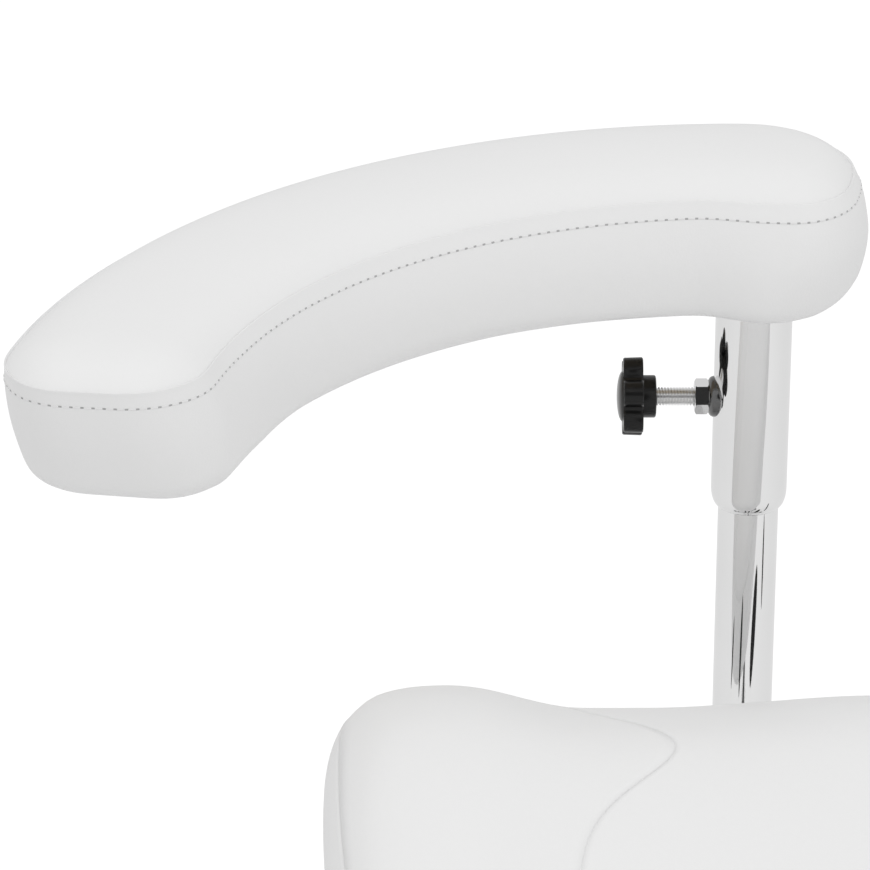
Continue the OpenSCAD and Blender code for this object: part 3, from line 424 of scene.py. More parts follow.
for side in (0, 180):
    wheel = turned("wheel", WHEEL_PROFILE, 80, hollow=True)
    wheel = placed(wheel, across_castor, Vector((0, WHEELS_APART, 0)))
    wheels.append(placed(wheel, Matrix.Rotation(math.radians(side), 4, "Z"), axle))
wheels = join(wheels)
tread = coated("black_wheel_nylon", 0.022, 0.42, 500, 0.00003, 0.08)
for number, turn in enumerate(CASTOR_TURNS, 1):
    arm_turn = 90 + 72 * (number - 1)
    stem = Vector((ARM_REACH * math.cos(math.radians(arm_turn)), ARM_REACH * math.sin(math.radians(arm_turn)), 0))
    for part, kind, material, body in [(hood, "hood", black_plastic, f"castor_{number}"),
                                       (wheels, "wheels", tread, f"castor_{number}_pair")]:
        copy = copy_round(part, [arm_turn + 180 + turn])[0]
        copy.data.transform(Matrix.Translation(stem))
        finish_piece(copy, f"castor_{number}_{kind}_moulded", material, body,
                     [f"castor_{number}_{kind}"], angle=38)
for part in (hood, wheels):
    bpy.data.objects.remove(part)
dress(["castor_stems"], zinc, 0.0005)
dress([f"castor_{number}_axle" for number in range(1, 6)], steel, 0.0004)

# Gas lift: a chrome-plated column wedged in the hub, with a black guide bush at its top.
# The black-lacquered cylinder slides in the bush, on a ground steel rod that stands on a ball bearing.
brass = metal("plain_brass", (0.68, 0.52, 0.24), 0.28, 0.10)
black_lacquer = coated("black_lacquer", 0.018, 0.22, 40, 0.00001, 0.05)
CHROME_GREY = 0.84
chrome = metal("polished_chrome", CHROME_GREY, 0.05, 0.03)
dress(["column_tube"], chrome, 0.0008)
dress(["column_bush"], black_plastic, 0.0008)
dress(["thrust_bearing", "piston_rod", "rod_clip"], steel, 0.0003)
dress(["piston_head", "release_pin"], brass, 0.0003)
dress(["gas_cylinder"], black_lacquer, 0.0006)

# Mechanism: a folded steel housing with a spigot, in black powder coat, on the cylinder's tapered top.
# The seat plate turns in it on a zinc-plated pin, and a spring ring keeps the arm's collar on the spigot.
black_paint = coated("black_powder_coat", 0.028, 0.48, 900, 0.00008)
dress(["mechanism_housing", "seat_plate"], black_paint, 0.0007)
dress(["swing_ring"], steel, 0.0003)
dress(["pivot_pin", "seat_bolts"], zinc, 0.0005)
dress(["seat_inserts"], brass, 0.0003)

# Levers: chrome-plated 8 mm rods, one to free the gas lift and one to free the tilt.
# Each ends in a black grip with turned rings, pushed on over the rod.
GRIP_LENGTH, GRIP_PAST = 0.062, 0.012
grip_profile = [(0.0042, GRIP_LENGTH), (0.0049, GRIP_LENGTH), (0.0054, GRIP_LENGTH - 0.0006),
                (0.0058, GRIP_LENGTH - 0.004)]
for ring in range(7):
    top = GRIP_LENGTH - 0.0065 - ring * 0.0045
    swell = 0.0062 + ring * 0.00024
    grip_profile += [(swell, top + 0.0012), (swell + 0.00042, top + 0.0004), (swell + 0.00042, top - 0.0012),
                     (swell, top - 0.0020)]
grip_profile += [(0.0078, 0.024), (0.0080, 0.016), (0.0080, 0.0050), (0.0077, 0.0028), (0.0068, 0.0012),
                 (0.0052, 0.0003), (0.0034, 0), (0.0002, -0.0001)]
for name, body, near, far in [
        ("height_grip", "height_lever_arm", (0.045, -0.090, 0.4403), (0.100, -0.185, 0.4283)),
        ("tilt_grip", "tilt_lever_arm", (-0.032, 0.059, 0.454), (-0.110, 0.059, 0.454))]:
    near, far = Vector(near), Vector(far)
    along = (far - near).normalized()
    grip = turned("grip", grip_profile, 48)
    placed(grip, (-along).to_track_quat("Z", "Y").to_matrix().to_4x4(), far + along * GRIP_PAST)
    finish_piece(grip, name + "_ringed", black_plastic, body, [name], angle=40)
dress(["height_lever", "tilt_lever"], chrome, 0.0005)

# Seat shell: black moulded plastic that carries the foam, with brass inserts for the plate's four bolts.
# Its surface is textured more deeply than that of the other moulded parts.
shell_plastic = coated("black_textured_shell", 0.024, 0.58, 700, 0.00012)
dress(["seat_shell"], shell_plastic, 0.0006, angle=42)


# Seat upholstery: thick foam in white leathercloth, a saddle with drooping wings and a raised rear.
# The rear panel meets the front one at a bell-shaped seam, and both are sewn to a side band round the shell.
SEAT_HEIGHT, SEAT_REAR, SEAT_FRONT, SEAT_HALF_WIDTH = 0.560, 0.168, 0.190, 0.172
SEAT_BAND, SEAT_BULGE, SEAT_MIDDLE_X = 0.042, 0.006, -0.010
SEAT_SHOULDER, SHOULDER_START = 0.014, 0.8
CANTLE_RISE, POMMEL_RISE, WING_SLOPE, RIDGE_ROUND = 0.010, 0.0055, 0.65, 0.054
SHELL_TOP, SHELL_EDGE, LEAST_FOAM, RIM_STEP, COVER_GAP = 0.510, 0.93, 0.038, 0.003, 0.0003
SEAT_SIDE = [(-1, 0), (-0.985, 0.3), (-0.93, 0.6), (-0.74, 0.88), (-0.4, 1), (-0.02, 0.93),
             (0.3, 0.72), (0.58, 0.53), (0.82, 0.42), (0.95, 0.3), (1, 0)]


def spread(points, steps):
    """Points at even distances along a line of points, its two ends among them."""
    run = np.concatenate([[0], np.cumsum(np.linalg.norm(np.diff(points, axis=0), axis=1))])
    at = np.linspace(0, run[-1], steps + 1)
    return np.stack([np.interp(at, run, points[:, k]) for k in range(points.shape[1])], -1)


def outward(ring):
    """Unit normals in plan of a closed ring, pointing out of it."""
    along = np.roll(ring, -1, 0) - np.roll(ring, 1, 0)
    normals = np.stack([along[:, 1], -along[:, 0]], -1) / np.linalg.norm(along, axis=1)[:, None]
    area = np.sum(ring[:, 0] * np.roll(ring[:, 1], -1) - np.roll(ring[:, 0], -1) * ring[:, 1])
    return normals if area > 0 else -normals


def lift(plan, height):
    """Gives points in plan their heights."""
    return np.concatenate([plan, np.broadcast_to(np.asarray(height, float)[..., None], (*plan.shape[:-1], 1))], -1)


def patch(near, far, start, end):
    """A grid of points inside four edges: near and far run the same way, and start and end join them."""
    u = np.linspace(0, 1, len(near))[:, None, None]
    v = np.linspace(0, 1, len(start))[None, :, None]
    return ((1 - v) * near[:, None] + v * far[:, None] + (1 - u) * start[None] + u * end[None]
            - (1 - u) * (1 - v) * near[0] - u * (1 - v) * near[-1] - (1 - u) * v * far[0] - u * v * far[-1])


def spline(knots, at):
    """A smooth curve through a list of knots, read at whole and part numbers of knots."""
    knots = np.asarray(knots, float)
    knots = np.concatenate([2 * knots[:1] - knots[1:2], knots, 2 * knots[-1:] - knots[-2:-1]])
    k = np.minimum(np.floor(at).astype(int), len(knots) - 4)
    t = (np.asarray(at) - k)[:, None]
    a, b, c, d = (knots[k + i] for i in range(4))
    return (2 * b + (c - a) * t + (2 * a - 5 * b + 4 * c - d) * t ** 2 + (3 * b - a - 3 * c + d) * t ** 3) / 2


def band_rows(knots, rows):
    """Rows of a side band, as shares of its bulge and of its height, evenly spread over its curve."""
    return spread(spline(knots, np.linspace(0, len(knots) - 1, 200)), rows)


def nearest(points):
    """A tree that finds the nearest of some points."""
    tree = KDTree(len(points))
    for i, point in enumerate(points):
        tree.insert(point, i)
    tree.balance()
    return tree


def sew_cover(name, grids, rings, seams):
    """A closed cover from grids of points and rings of points, welded where they meet, with its seams marked."""
    mesh = bmesh.new()
    for grid, closed in [(g, False) for g in grids] + [(np.array(rings), True)]:
        rows = [[mesh.verts.new(point) for point in row] for row in grid]
        for low, high in zip(rows[:-1], rows[1:]):
            count = len(low)
            for i in range(count if closed else count - 1):
                k = (i + 1) % count
                mesh.faces.new([low[i], low[k], high[k], high[i]])
    bmesh.ops.remove_doubles(mesh, verts=mesh.verts, dist=2e-5)
    bmesh.ops.dissolve_degenerate(mesh, edges=mesh.edges, dist=2e-5)
    bmesh.ops.recalc_face_normals(mesh, faces=mesh.faces)
    sewn = nearest(np.concatenate(seams))
    on_seam = {v for v in mesh.verts if sewn.find(v.co)[2] < 5e-5}
    crease = mesh.edges.layers.float.new("crease_edge")
    for edge in mesh.edges:
        edge.seam = edge.verts[0] in on_seam and edge.verts[1] in on_seam
        edge[crease] = 0.9 * edge.seam
    data = bpy.data.meshes.new(name)
    mesh.to_mesh(data)
    mesh.free()
    return linked(name, data)


SWELL_RUN, SMOOTHINGS = 0.030, 10


def fill_out(piece, fixed, shrink, pressure, limit):
    """Lets the cloth of a cover swell over its foam, by a limit that grows with the distance from its seams."""
    data = piece.data
    count = len(data.vertices)
    before, normals = np.empty(count * 3, np.float32), np.empty(count * 3, np.float32)
    data.vertices.foreach_get("co", before)
    data.vertices.foreach_get("normal", normals)
    before, normals = before.reshape(-1, 3), normals.reshape(-1, 3)
    held = np.array([fixed(v.co) for v in data.vertices])
    for edge in data.edges:
        if edge.use_seam:
            held[list(edge.vertices)] = True
    start = before - normals * (shrink * ~held)[:, None]
    data.vertices.foreach_set("co", start.ravel())
    group = piece.vertex_groups.new(name="held")
    group.add(np.flatnonzero(held).tolist(), 1.0, "REPLACE")
    cloth = piece.modifiers.new("cloth", "CLOTH")
    for name, value in {"quality": 6, "mass": 0.35, "tension_stiffness": 20, "compression_stiffness": 20,
                        "shear_stiffness": 8, "bending_stiffness": 0.8, "vertex_group_mass": "held",
                        "use_pressure": True, "uniform_pressure_force": pressure}.items():
        setattr(cloth.settings, name, value)
    cloth.settings.effector_weights.gravity = 0
    cloth.collision_settings.use_collision = False
    scene = bpy.context.scene
    for step in range(1, 21):
        scene.frame_set(step)
    settled = piece.evaluated_get(bpy.context.evaluated_depsgraph_get())
    after = np.empty(count * 3, np.float32)
    settled.data.vertices.foreach_get("co", after)
    moved = after.reshape(-1, 3) - before
    pinned = nearest(before[held])
    free = np.clip([pinned.find(point)[2] / SWELL_RUN for point in before], 0, 1)
    swell = np.clip(np.sum(moved * normals, 1), 0, limit) * free * free * (3 - 2 * free)
    ends = np.array([edge.vertices[:] for edge in data.edges])
    joined = np.bincount(ends.ravel(), minlength=count)
    for _ in range(SMOOTHINGS):
        beside = np.bincount(ends[:, 0], swell[ends[:, 1]], count) + np.bincount(ends[:, 1], swell[ends[:, 0]], count)
        swell = (swell + beside / joined) / 2 * ~held
    piece.modifiers.remove(cloth)
    piece.vertex_groups.remove(group)
    scene.frame_set(1)
    data.vertices.foreach_set("co", (before + normals * swell[:, None]).ravel())
    data.update()


def finish_cover(piece, width=0.0005, depth=0.0006):
    """Rounds a cover off by one subdivision and sinks a fine groove along its seams."""
    apply(piece, "SUBSURF", levels=1, render_levels=1)
    mesh = bmesh.new()
    mesh.from_mesh(piece.data)
    sewn = [edge for edge in mesh.edges if edge.seam]
    line = list({v for edge in sewn for v in edge.verts})
    near = nearest([v.co for v in line])
    inward = [-v.normal for v in line]
    bmesh.ops.bevel(mesh, geom=sewn, offset=width, offset_type="OFFSET", segments=2, profile=0.5, affect="EDGES")
    for v in mesh.verts:
        place, i, gap = near.find(v.co)
        if gap < width * 0.6:
            v.co += inward[i] * depth
    mesh.to_mesh(piece.data)
    mesh.free()


def leather(name, grey):
    """Coated cloth: fine pebbled grain, a soft shine and slight waves where the foam gives."""
    made = Finish(name, grey, 0.42)
    pebbles = made.place.node("ShaderNodeTexVoronoi", {"feature": "SMOOTH_F1"},
                              {"Vector": made.place, "Scale": 1150, "Smoothness": 0.6})
    waves, pores = made.noise(16, 2), made.noise(420, 3)
    made.relief(pebbles * 0.03 + pores * 0.02 + waves * 0.9, 0.0009)
    made.feed("Roughness", pores * 0.10 + waves * 0.06 + 0.35)
    made.vary_grey(waves * 0.6 + pores * 0.4, grey * 0.985, grey * 1.01)
    return made.material


COVER_GREY = 0.85
leathercloth = leather("white_leathercloth", COVER_GREY)
seat_side = [(x * (SEAT_REAR if x < 0 else SEAT_FRONT), y * SEAT_HALF_WIDTH) for x, y in SEAT_SIDE]
knots = seat_side + [(x, -y) for x, y in seat_side[-2:0:-1]]
KNOT_STEPS = 100
at_knots = np.arange(3 * KNOT_STEPS, (len(knots) + 3) * KNOT_STEPS) / KNOT_STEPS
seat_edge = spline(knots[-3:] + knots + knots[:4], at_knots)
seat_middle = np.array([SEAT_MIDDLE_X, 0.0])
edge_arm = seat_edge - seat_middle
edge_turn = np.arctan2(edge_arm[:, 1], edge_arm[:, 0])
by_turn = np.argsort(edge_turn)
edge_turn, edge_reach = edge_turn[by_turn], np.linalg.norm(edge_arm, axis=1)[by_turn]


def seat_share(plan):
    """How far out towards the seam points of the seat lie, from 0 in the middle to 1 at the seam."""
    arm = plan - seat_middle
    reach = np.interp(np.arctan2(arm[..., 1], arm[..., 0]), edge_turn, edge_reach, period=2 * math.pi)
    return np.minimum(np.linalg.norm(arm, axis=-1) / reach, 1)


def step_up(start, run, x):
    t = np.clip((x - start) / run, 0, 1)
    return t * t * (3 - 2 * t)


def saddle_height(plan, share):
    x, y = plan[..., 0], plan[..., 1]
    rise = CANTLE_RISE * (1 - step_up(-0.125, 0.050, x)) + POMMEL_RISE * step_up(-0.045, 0.085, x)
    out = np.maximum(0, (share - SHOULDER_START) / (1 - SHOULDER_START))
    return (SEAT_HEIGHT + rise - WING_SLOPE * (np.sqrt(y ** 2 + RIDGE_ROUND ** 2) - RIDGE_ROUND)
            - SEAT_SHOULDER * (1 - np.sqrt(np.maximum(0, 1 - out ** 2))))


SEAM_X, BELL_RISE, BELL_WIDTH = -0.080, 0.038, 0.032
FRONT_SQUARES, REAR_SQUARES, SEAM_SQUARES = 56, 12, 60
left = next(i for i in range(3 * KNOT_STEPS, 4 * KNOT_STEPS) if seat_edge[i][0] >= SEAM_X)
right = len(seat_edge) - left
seat_edge[left][0] = seat_edge[right][0] = SEAM_X
seat_edge[right][1] = -seat_edge[left][1]
side_y = np.linspace(seat_edge[left][1], seat_edge[right][1], 400)
bell = spread(np.stack([SEAM_X + BELL_RISE * np.exp(-(side_y / BELL_WIDTH) ** 2), side_y], -1), SEAM_SQUARES)


def edge_between(first, last, squares):
    return spread(np.array([seat_edge[i % len(seat_edge)] for i in
                            (range(first, last + 1) if last >= first else range(first, last - 1, -1))]), squares)


left_front = edge_between(left, 9 * KNOT_STEPS, FRONT_SQUARES)
nose = edge_between(9 * KNOT_STEPS, 11 * KNOT_STEPS, SEAM_SQUARES)
right_front = edge_between(right, 11 * KNOT_STEPS, FRONT_SQUARES)
left_rear = edge_between(left, 3 * KNOT_STEPS, REAR_SQUARES)
right_rear = edge_between(right, 17 * KNOT_STEPS, REAR_SQUARES)
rear = edge_between(23 * KNOT_STEPS, 17 * KNOT_STEPS, SEAM_SQUARES)
seat_ring = np.concatenate([left_front[:-1], nose[:-1], right_front[::-1][:-1],
                            right_rear[:-1], rear[::-1][:-1], left_rear[::-1][:-1]])
seat_out = outward(seat_ring)


def seat_panel(plan):
    return lift(plan, saddle_height(plan, seat_share(plan)))


def under_ring(share):
    """A ring of the seat's underside, on top of the shell."""
    plan = seat_middle + share * (seat_ring - seat_middle)
    if share > SHELL_EDGE:
        return lift(plan, saddle_height(seat_ring, 1.0) - SEAT_BAND + RIM_STEP + COVER_GAP)
    return lift(plan, np.minimum(SHELL_TOP, saddle_height(plan, 0.0) - LEAST_FOAM) + COVER_GAP)


seam_height = saddle_height(seat_ring, 1.0)
front_panel = seat_panel(patch(left_front, right_front, bell, nose))
rear_panel = seat_panel(patch(left_rear, right_rear, bell, rear))
front_panel[:, 0], front_panel[:, -1] = seat_panel(left_front), seat_panel(right_front)
seat_rings = [under_ring(share) for share in (0, 0.2, 0.36, 0.52, 0.66, 0.78, 0.88, 0.935)] + [
    lift(seat_ring + out * SEAT_BULGE * seat_out, seam_height - down * SEAT_BAND)
    for out, down in band_rows([(-0.9, 1), (0.1, 0.96), (0.75, 0.76), (1, 0.48), (0.6, 0.2), (0, 0)], 11)]
for grid in (front_panel, rear_panel):
    for row in (grid[:, 0], grid[:, -1], grid[-1]):
        row[:, 2] = saddle_height(row[:, :2], 1.0)
seat_cover = sew_cover("seat_upholstery", [front_panel, rear_panel], seat_rings,
                       [lift(seat_ring, seam_height), front_panel[0]])


def on_shell(point):
    """Whether a point of the seat's cover lies on the shell or wraps round its rim."""
    plan = np.array(point)[None, :2]
    share = seat_share(plan)[0]
    return (point.z < saddle_height(plan, 1.0)[0] - 0.034 and share < 0.99) or (share < 0.94 and point.z < 0.512)


fill_out(seat_cover, on_shell, shrink=0.0012, pressure=2.0, limit=0.003)
finish_cover(seat_cover)
finish_piece(seat_cover, "seat_upholstery", leathercloth, "seat", ["seat_cushion"], angle=180)

# Arm: a chrome-plated tube welded to a collar that turns on the housing's spigot, bent up beside the seat.
# It is one 25.4 mm (1 inch) tube, closed at the top by a black plug, and the sleeve slides on its upright.
TUBE_RADIUS, BEND_RADIUS, POST_REACH, TUBE_HEIGHT, POST_TOP = 0.0127, 0.060, 0.246, 0.3918, 0.616
COLLAR_RADIUS, TUBE_SEGMENTS = 0.029, 96


def drawn(name, points, edges, faces):
    """A piece from its points, and its edges or faces."""
    data = bpy.data.meshes.new(name)
    data.from_pydata([tuple(point) for point in points], edges, faces)
    return linked(name, data)


def weld_bead(name, path, away, thick, ripples, body, sides=12):
    """A weld: a ring of rippled beads along a closed path, raised away from the joint."""
    turns = np.radians(np.arange(sides) * 360 / sides)
    verts, faces, count = [], [], len(path)
    for i, (place, out) in enumerate(zip(path, away)):
        along = path[(i + 1) % count] - path[i - 1]
        along /= np.linalg.norm(along)
        side = np.cross(along, out)
        radius = thick * (1 + 0.07 * math.cos(2 * math.pi * ripples * i / count) + 0.05 * math.sin(5.3 * i))
        verts.extend(place + radius * (math.cos(t) * out + 1.25 * math.sin(t) * side) for t in turns)
        here, there = sides * i, sides * ((i + 1) % count)
        faces.extend([here + k, here + (k + 1) % sides, there + (k + 1) % sides, there + k] for k in range(sides))
    finish_piece(drawn(name, verts, [], faces), name, chrome, body, angle=180)


arm_tube = begin("arm_tube", "circle", vertices=TUBE_SEGMENTS, radius=TUBE_RADIUS,
                 location=(0, COLLAR_RADIUS - 0.002, TUBE_HEIGHT), rotation=(math.radians(90), 0, 0))
draw_out((0, POST_REACH - BEND_RADIUS - COLLAR_RADIUS + 0.002, 0))
bpy.ops.mesh.spin(steps=24, angle=math.radians(-90), center=(0, POST_REACH - BEND_RADIUS, TUBE_HEIGHT + BEND_RADIUS),
                  axis=(1, 0, 0))
draw_out((0, 0, POST_TOP - TUBE_HEIGHT - BEND_RADIUS))
draw_out((0, 0, -0.0001), (0.87, 0.87, 1), (0, POST_REACH, POST_TOP))
draw_out((0, 0, -0.015))
finish_piece(arm_tube, "arm_tube_bent", chrome, "arm", ["arm_tube"])
turns = np.linspace(0, 2 * math.pi, 120, endpoint=False)
across, up = (TUBE_RADIUS + 0.0006) * np.sin(turns), (TUBE_RADIUS + 0.0006) * np.cos(turns)
joint = np.stack([across, np.sqrt(COLLAR_RADIUS ** 2 - across ** 2) + 0.0004, TUBE_HEIGHT + up], -1)
weld_bead("collar_weld", joint, np.stack([np.sin(turns), np.full(120, 0.5), np.cos(turns)], -1) / 1.118,
          0.0022, 40, "arm")
dress(["arm_collar"], chrome, 0.001)
dress(["post_plug"], black_plastic, 0.0006)
nylon = coated("natural_nylon", (0.74, 0.72, 0.66), 0.42, 600, 0.00003)
dress(["guide_bushes"], nylon)

# Sleeve: a short chrome-plated tube, 31.8 mm (1 1/4 inch) over all, whose lower rim is swaged in to the post.
# A steel weld nut sits on its left side, over the hole that the clamp screw goes through.
CLAMP_HEIGHT, SLEEVE_RADIUS, SLEEVE_BORE, SLEEVE_LOW, SLEEVE_HIGH = 0.590, 0.0159, 0.0144, 0.541, 0.637
RIM_HEIGHT, RIM_RADIUS, RIM_BORE = 0.0075, 0.0131, 0.01278
sleeve_profile = [(RIM_BORE, 0), (RIM_RADIUS, 0.0001)] + [
    (RIM_RADIUS + (SLEEVE_RADIUS - RIM_RADIUS) * math.sin(math.radians(a)),
     0.0001 + RIM_HEIGHT * (1 - math.cos(math.radians(a)))) for a in range(10, 100, 10)] + [
    (SLEEVE_RADIUS, SLEEVE_HIGH - SLEEVE_LOW), (SLEEVE_BORE, SLEEVE_HIGH - SLEEVE_LOW),
    (SLEEVE_BORE, RIM_HEIGHT), (RIM_BORE, RIM_HEIGHT - 0.003), (RIM_BORE, 0)]
post_axis = Vector((0, POST_REACH, 0))
to_knob = Matrix.Rotation(math.radians(-90), 4, "Y")


def on_screw(out):
    """The place on the clamp screw's axis at a distance from the post's axis."""
    return post_axis + Vector((-out, 0, CLAMP_HEIGHT))


def cut(piece, tool, operation="DIFFERENCE"):
    """Cuts a piece with a tool, or keeps what they share, and takes the tool away."""
    apply(piece, "BOOLEAN", object=tool, operation=operation, solver="EXACT")
    bpy.data.objects.remove(tool)


sleeve = placed(turned("sleeve", sleeve_profile, 128, hollow=True), Matrix(),
                post_axis + Vector((0, 0, SLEEVE_LOW)))
drill = placed(turned("drill", [(0.0041, 0), (0.0041, 0.03)], 48), to_knob, on_screw(0.008))
for tube in (sleeve, drill):
    finish_piece(tube, tube.name, chrome, "sleeve")
cut(sleeve, drill)
finish_piece(sleeve, "arm_sleeve_swaged", chrome, "sleeve", ["arm_sleeve"], angle=40)

NUT_FLATS, NUT_OUT, NUT_THICK, NUT_BORE, WELD_RADIUS = 0.0065, 0.0179, 0.006, 0.0040, 0.0086
nut = begin("nut", "cylinder", vertices=6, radius=NUT_FLATS / math.cos(math.radians(30)), depth=NUT_THICK,
            location=(0, 0, NUT_THICK / 2))
rounding = turned("rounding", [(0.0062, -0.0002), (0.0064, 0), (0.0070, 0.0004), (0.0076, 0.0009),
                               (0.0076, 0.0052), (0.0070, 0.0056), (0.0064, 0.006), (0.0062, 0.0062)], 72)
bore = turned("bore", [(0.0046, -0.0005), (0.0046, 0.0001), (NUT_BORE, 0.0008), (NUT_BORE, 0.0052),
                       (0.0046, 0.0059), (0.0046, 0.0065)], 48)
cut(nut, rounding, "INTERSECT")
cut(nut, bore)
placed(nut, to_knob @ Matrix.Rotation(math.radians(-4), 4, "Z"), on_screw(NUT_OUT))
apply(nut, "BEVEL", width=0.00022, segments=2, limit_method="ANGLE", angle_limit=math.radians(28))
finish_piece(nut, "weld_nut", chrome, "sleeve", ["clamp_nut"], angle=35)
boss = placed(turned("boss", [(NUT_BORE + 0.0002, -0.006), (0.0080, -0.006), (WELD_RADIUS, -0.0035),
                              (WELD_RADIUS, 0.0002), (0.0082, 0.0012), (0.0074, 0.0019), (0.0066, 0.0022),
                              (NUT_BORE + 0.0002, 0.0022), (NUT_BORE + 0.0002, -0.006)], 72, hollow=True), to_knob,
              on_screw(SLEEVE_RADIUS))
in_wall = placed(turned("in_wall", [(SLEEVE_RADIUS - 0.0008, 0), (SLEEVE_RADIUS - 0.0008, 0.03)], 128), Matrix(),
                 post_axis + Vector((0, 0, CLAMP_HEIGHT - 0.015)))
cut(boss, in_wall)
# Painted reflection: the weld boss's dark grey stands in for the dark reflection on the plated weld, not a colour of
# the metal itself.
weld_painted_dark_reflection = metal("weld_painted_dark_reflection", 0.16, 0.14, 0.06)
finish_piece(boss, "nut_weld_boss", weld_painted_dark_reflection, "sleeve", angle=50)


# Arm pad: foam on a plywood board in a white leathercloth cover, a banana that sweeps round the sitter.
# Its top panel is sewn to a side band, which is topstitched below the seam and wraps under the board.
PAD_CENTRE_BACK = 0.008
PAD_MIDDLE, PAD_FRONT, PAD_BACK = 0.24975, 0.046, 0.366
PAD_UNDER, PAD_DEPTH, PAD_CROWN = 0.640, 0.052, 0.0112
PAD_CROWN_RUN = 0.0093
PAD_SIDE_SQUARES, PAD_END_SQUARES = 96, 16
PAD_INNER, PAD_OUTER, SEAM_INNER, SEAM_OUTER, FOOT_INNER = 0.2120, 0.2875, 0.2130, 0.2892, 0.2122
BOARD_INSET, BOARD_THICKNESS, BOARD_GAP, BOARD_SET_IN = 0.014, 0.010, 0.0003, 0.0121


def pad_place(along, across):
    """Points of the pad in plan, from their distance along its middle line and from the arc's centre."""
    turn = along / PAD_MIDDLE
    return np.stack([-PAD_CENTRE_BACK - across * np.sin(turn), across * np.cos(turn)], -1)


def pad_outline(front, back, inner, outer, radii, lead, flare):
    """The four sides of an outline of the pad: inner side, back end, outer side and front end."""
    edge, corners = [], []
    for along, across, radius, start in [(-front, inner, radii[0], 180), (back, inner, radii[1], 270),
                                         (back, outer, radii[2], 0), (-front, outer, radii[3], 90)]:
        turns = np.radians(np.linspace(start, start + 90, 25))
        arc = np.stack([along - math.copysign(radius, along) + radius * np.cos(turns),
                        across - math.copysign(radius, across - PAD_MIDDLE) + radius * np.sin(turns)], -1)
        corners.append(len(edge) + len(arc) // 2)
        edge.extend(arc)
    sides = []
    for first, last, squares in zip(corners, corners[1:] + [corners[0] + len(edge)],
                                    [PAD_SIDE_SQUARES, PAD_END_SQUARES] * 2):
        run = spread(np.array([edge[i % len(edge)] for i in range(first, last + 1)]), 400)
        first_half, last_part = (np.clip(x, 0, 1) for x in ((0.024 - run[:, 0]) / 0.036, (run[:, 0] - 0.24) / 0.10))
        straight = lead * first_half ** 2 * (3 - 2 * first_half) + flare * last_part ** 2 * (3 - 2 * last_part)
        straight *= np.clip((PAD_MIDDLE - run[:, 1]) / 0.02, 0, 1)
        sides.append(spread(pad_place(run[:, 0], run[:, 1] - straight), squares))
    return sides


seam_sides = pad_outline(PAD_FRONT + 0.0015, PAD_BACK, SEAM_INNER, SEAM_OUTER, (0.025, 0.030, 0.027, 0.045),
                         0.0045, 0)
foot_sides = pad_outline(PAD_FRONT + 0.0005, PAD_BACK - 0.0165, FOOT_INNER, PAD_OUTER, (0.038, 0.025, 0.031, 0.045),
                         0.0085, 0.0045)
pad_ring, foot_ring = (np.concatenate([side[:-1] for side in sides]) for sides in (seam_sides, foot_sides))
pad_turn = np.arctan2(-(pad_ring[:, 0] + PAD_CENTRE_BACK), pad_ring[:, 1]) * PAD_MIDDLE
pad_bulge = np.interp(pad_turn, [-0.040, 0.0, 0.300, 0.350], [0.0075, 0.0055, 0.0055, 0.0030])
pad_round = np.interp(np.arange(len(pad_ring)), [0, 20, 40, 70, 80, 88, 94, 99, 104, 112, 128, 196, 224],
                      [0.006, 0.007, 0.010, 0.009, 0.0065, 0.008, 0.0105, 0.0075, 0.007, 0.006, 0.008, 0.008, 0.007])
pad_out = outward(pad_ring)


def band_ring(up):
    """A ring of the side band: it bulges over its height, and rounds in to the foot of the pad."""
    bulge = np.interp(up, [0, 0.22, 0.36, 0.5, 0.66, 0.82, 0.93, 1], [0.3, 0.75, 0.94, 1, 0.9, 0.6, 0.28, 0])
    rest = np.clip(1 - up * PAD_DEPTH / pad_round, 0, 1)
    out = pad_bulge * bulge - pad_round * (1 - np.sqrt(1 - rest ** 2))
    return lift(foot_ring + up * (pad_ring - foot_ring) + out[:, None] * pad_out, PAD_UNDER + up * PAD_DEPTH)


# The seam between the band and the top panel: a fine rolled lip, then a narrow groove that the foam draws in.
pad_rings = [band_ring(up) for up in
             (0, 0.012, 0.04, 0.085, 0.14, 0.21, 0.30, 0.40, 0.51, 0.62, 0.73, 0.83, 0.91, 0.97)] + [
    lift(pad_ring + out * pad_out, PAD_UNDER + PAD_DEPTH + up)
    for out, up in [(0.0004, -0.0004), (0.0001, 0.0001), (-0.0005, -0.0010), (-0.0011, 0)]]
panel_ring = pad_rings[-1][:, :2]
panel_sides, start = [], 0
for side in seam_sides:
    panel_sides.append(panel_ring[np.arange(start, start + len(side)) % len(panel_ring)])
    start += len(side) - 1


def crown_rise(plan):
    """Height of the top panel over its seam: it rises fast near the seam and is nearly flat in the middle."""
    edge = nearest(lift(spread(np.concatenate([panel_ring, panel_ring[:1]]), len(panel_ring) * 4 - 1), 0))
    gap = np.array([[edge.find((*point, 0))[2] for point in row] for row in plan])
    return PAD_CROWN * (1 - np.exp(-gap / PAD_CROWN_RUN))


inner_side, back_end, outer_side, front_end = panel_sides
top_plan = patch(inner_side, outer_side[::-1], front_end[::-1], back_end)
top_panel = lift(top_plan, PAD_UNDER + PAD_DEPTH + crown_rise(top_plan))
for edge in (top_panel[0], top_panel[-1], top_panel[:, 0], top_panel[:, -1]):
    edge[:, 2] = PAD_UNDER + PAD_DEPTH


def corner_cut(gap, radius):
    return np.where(gap >= radius, 0, radius - np.sqrt(np.maximum(0, radius ** 2 - (radius - gap) ** 2)))


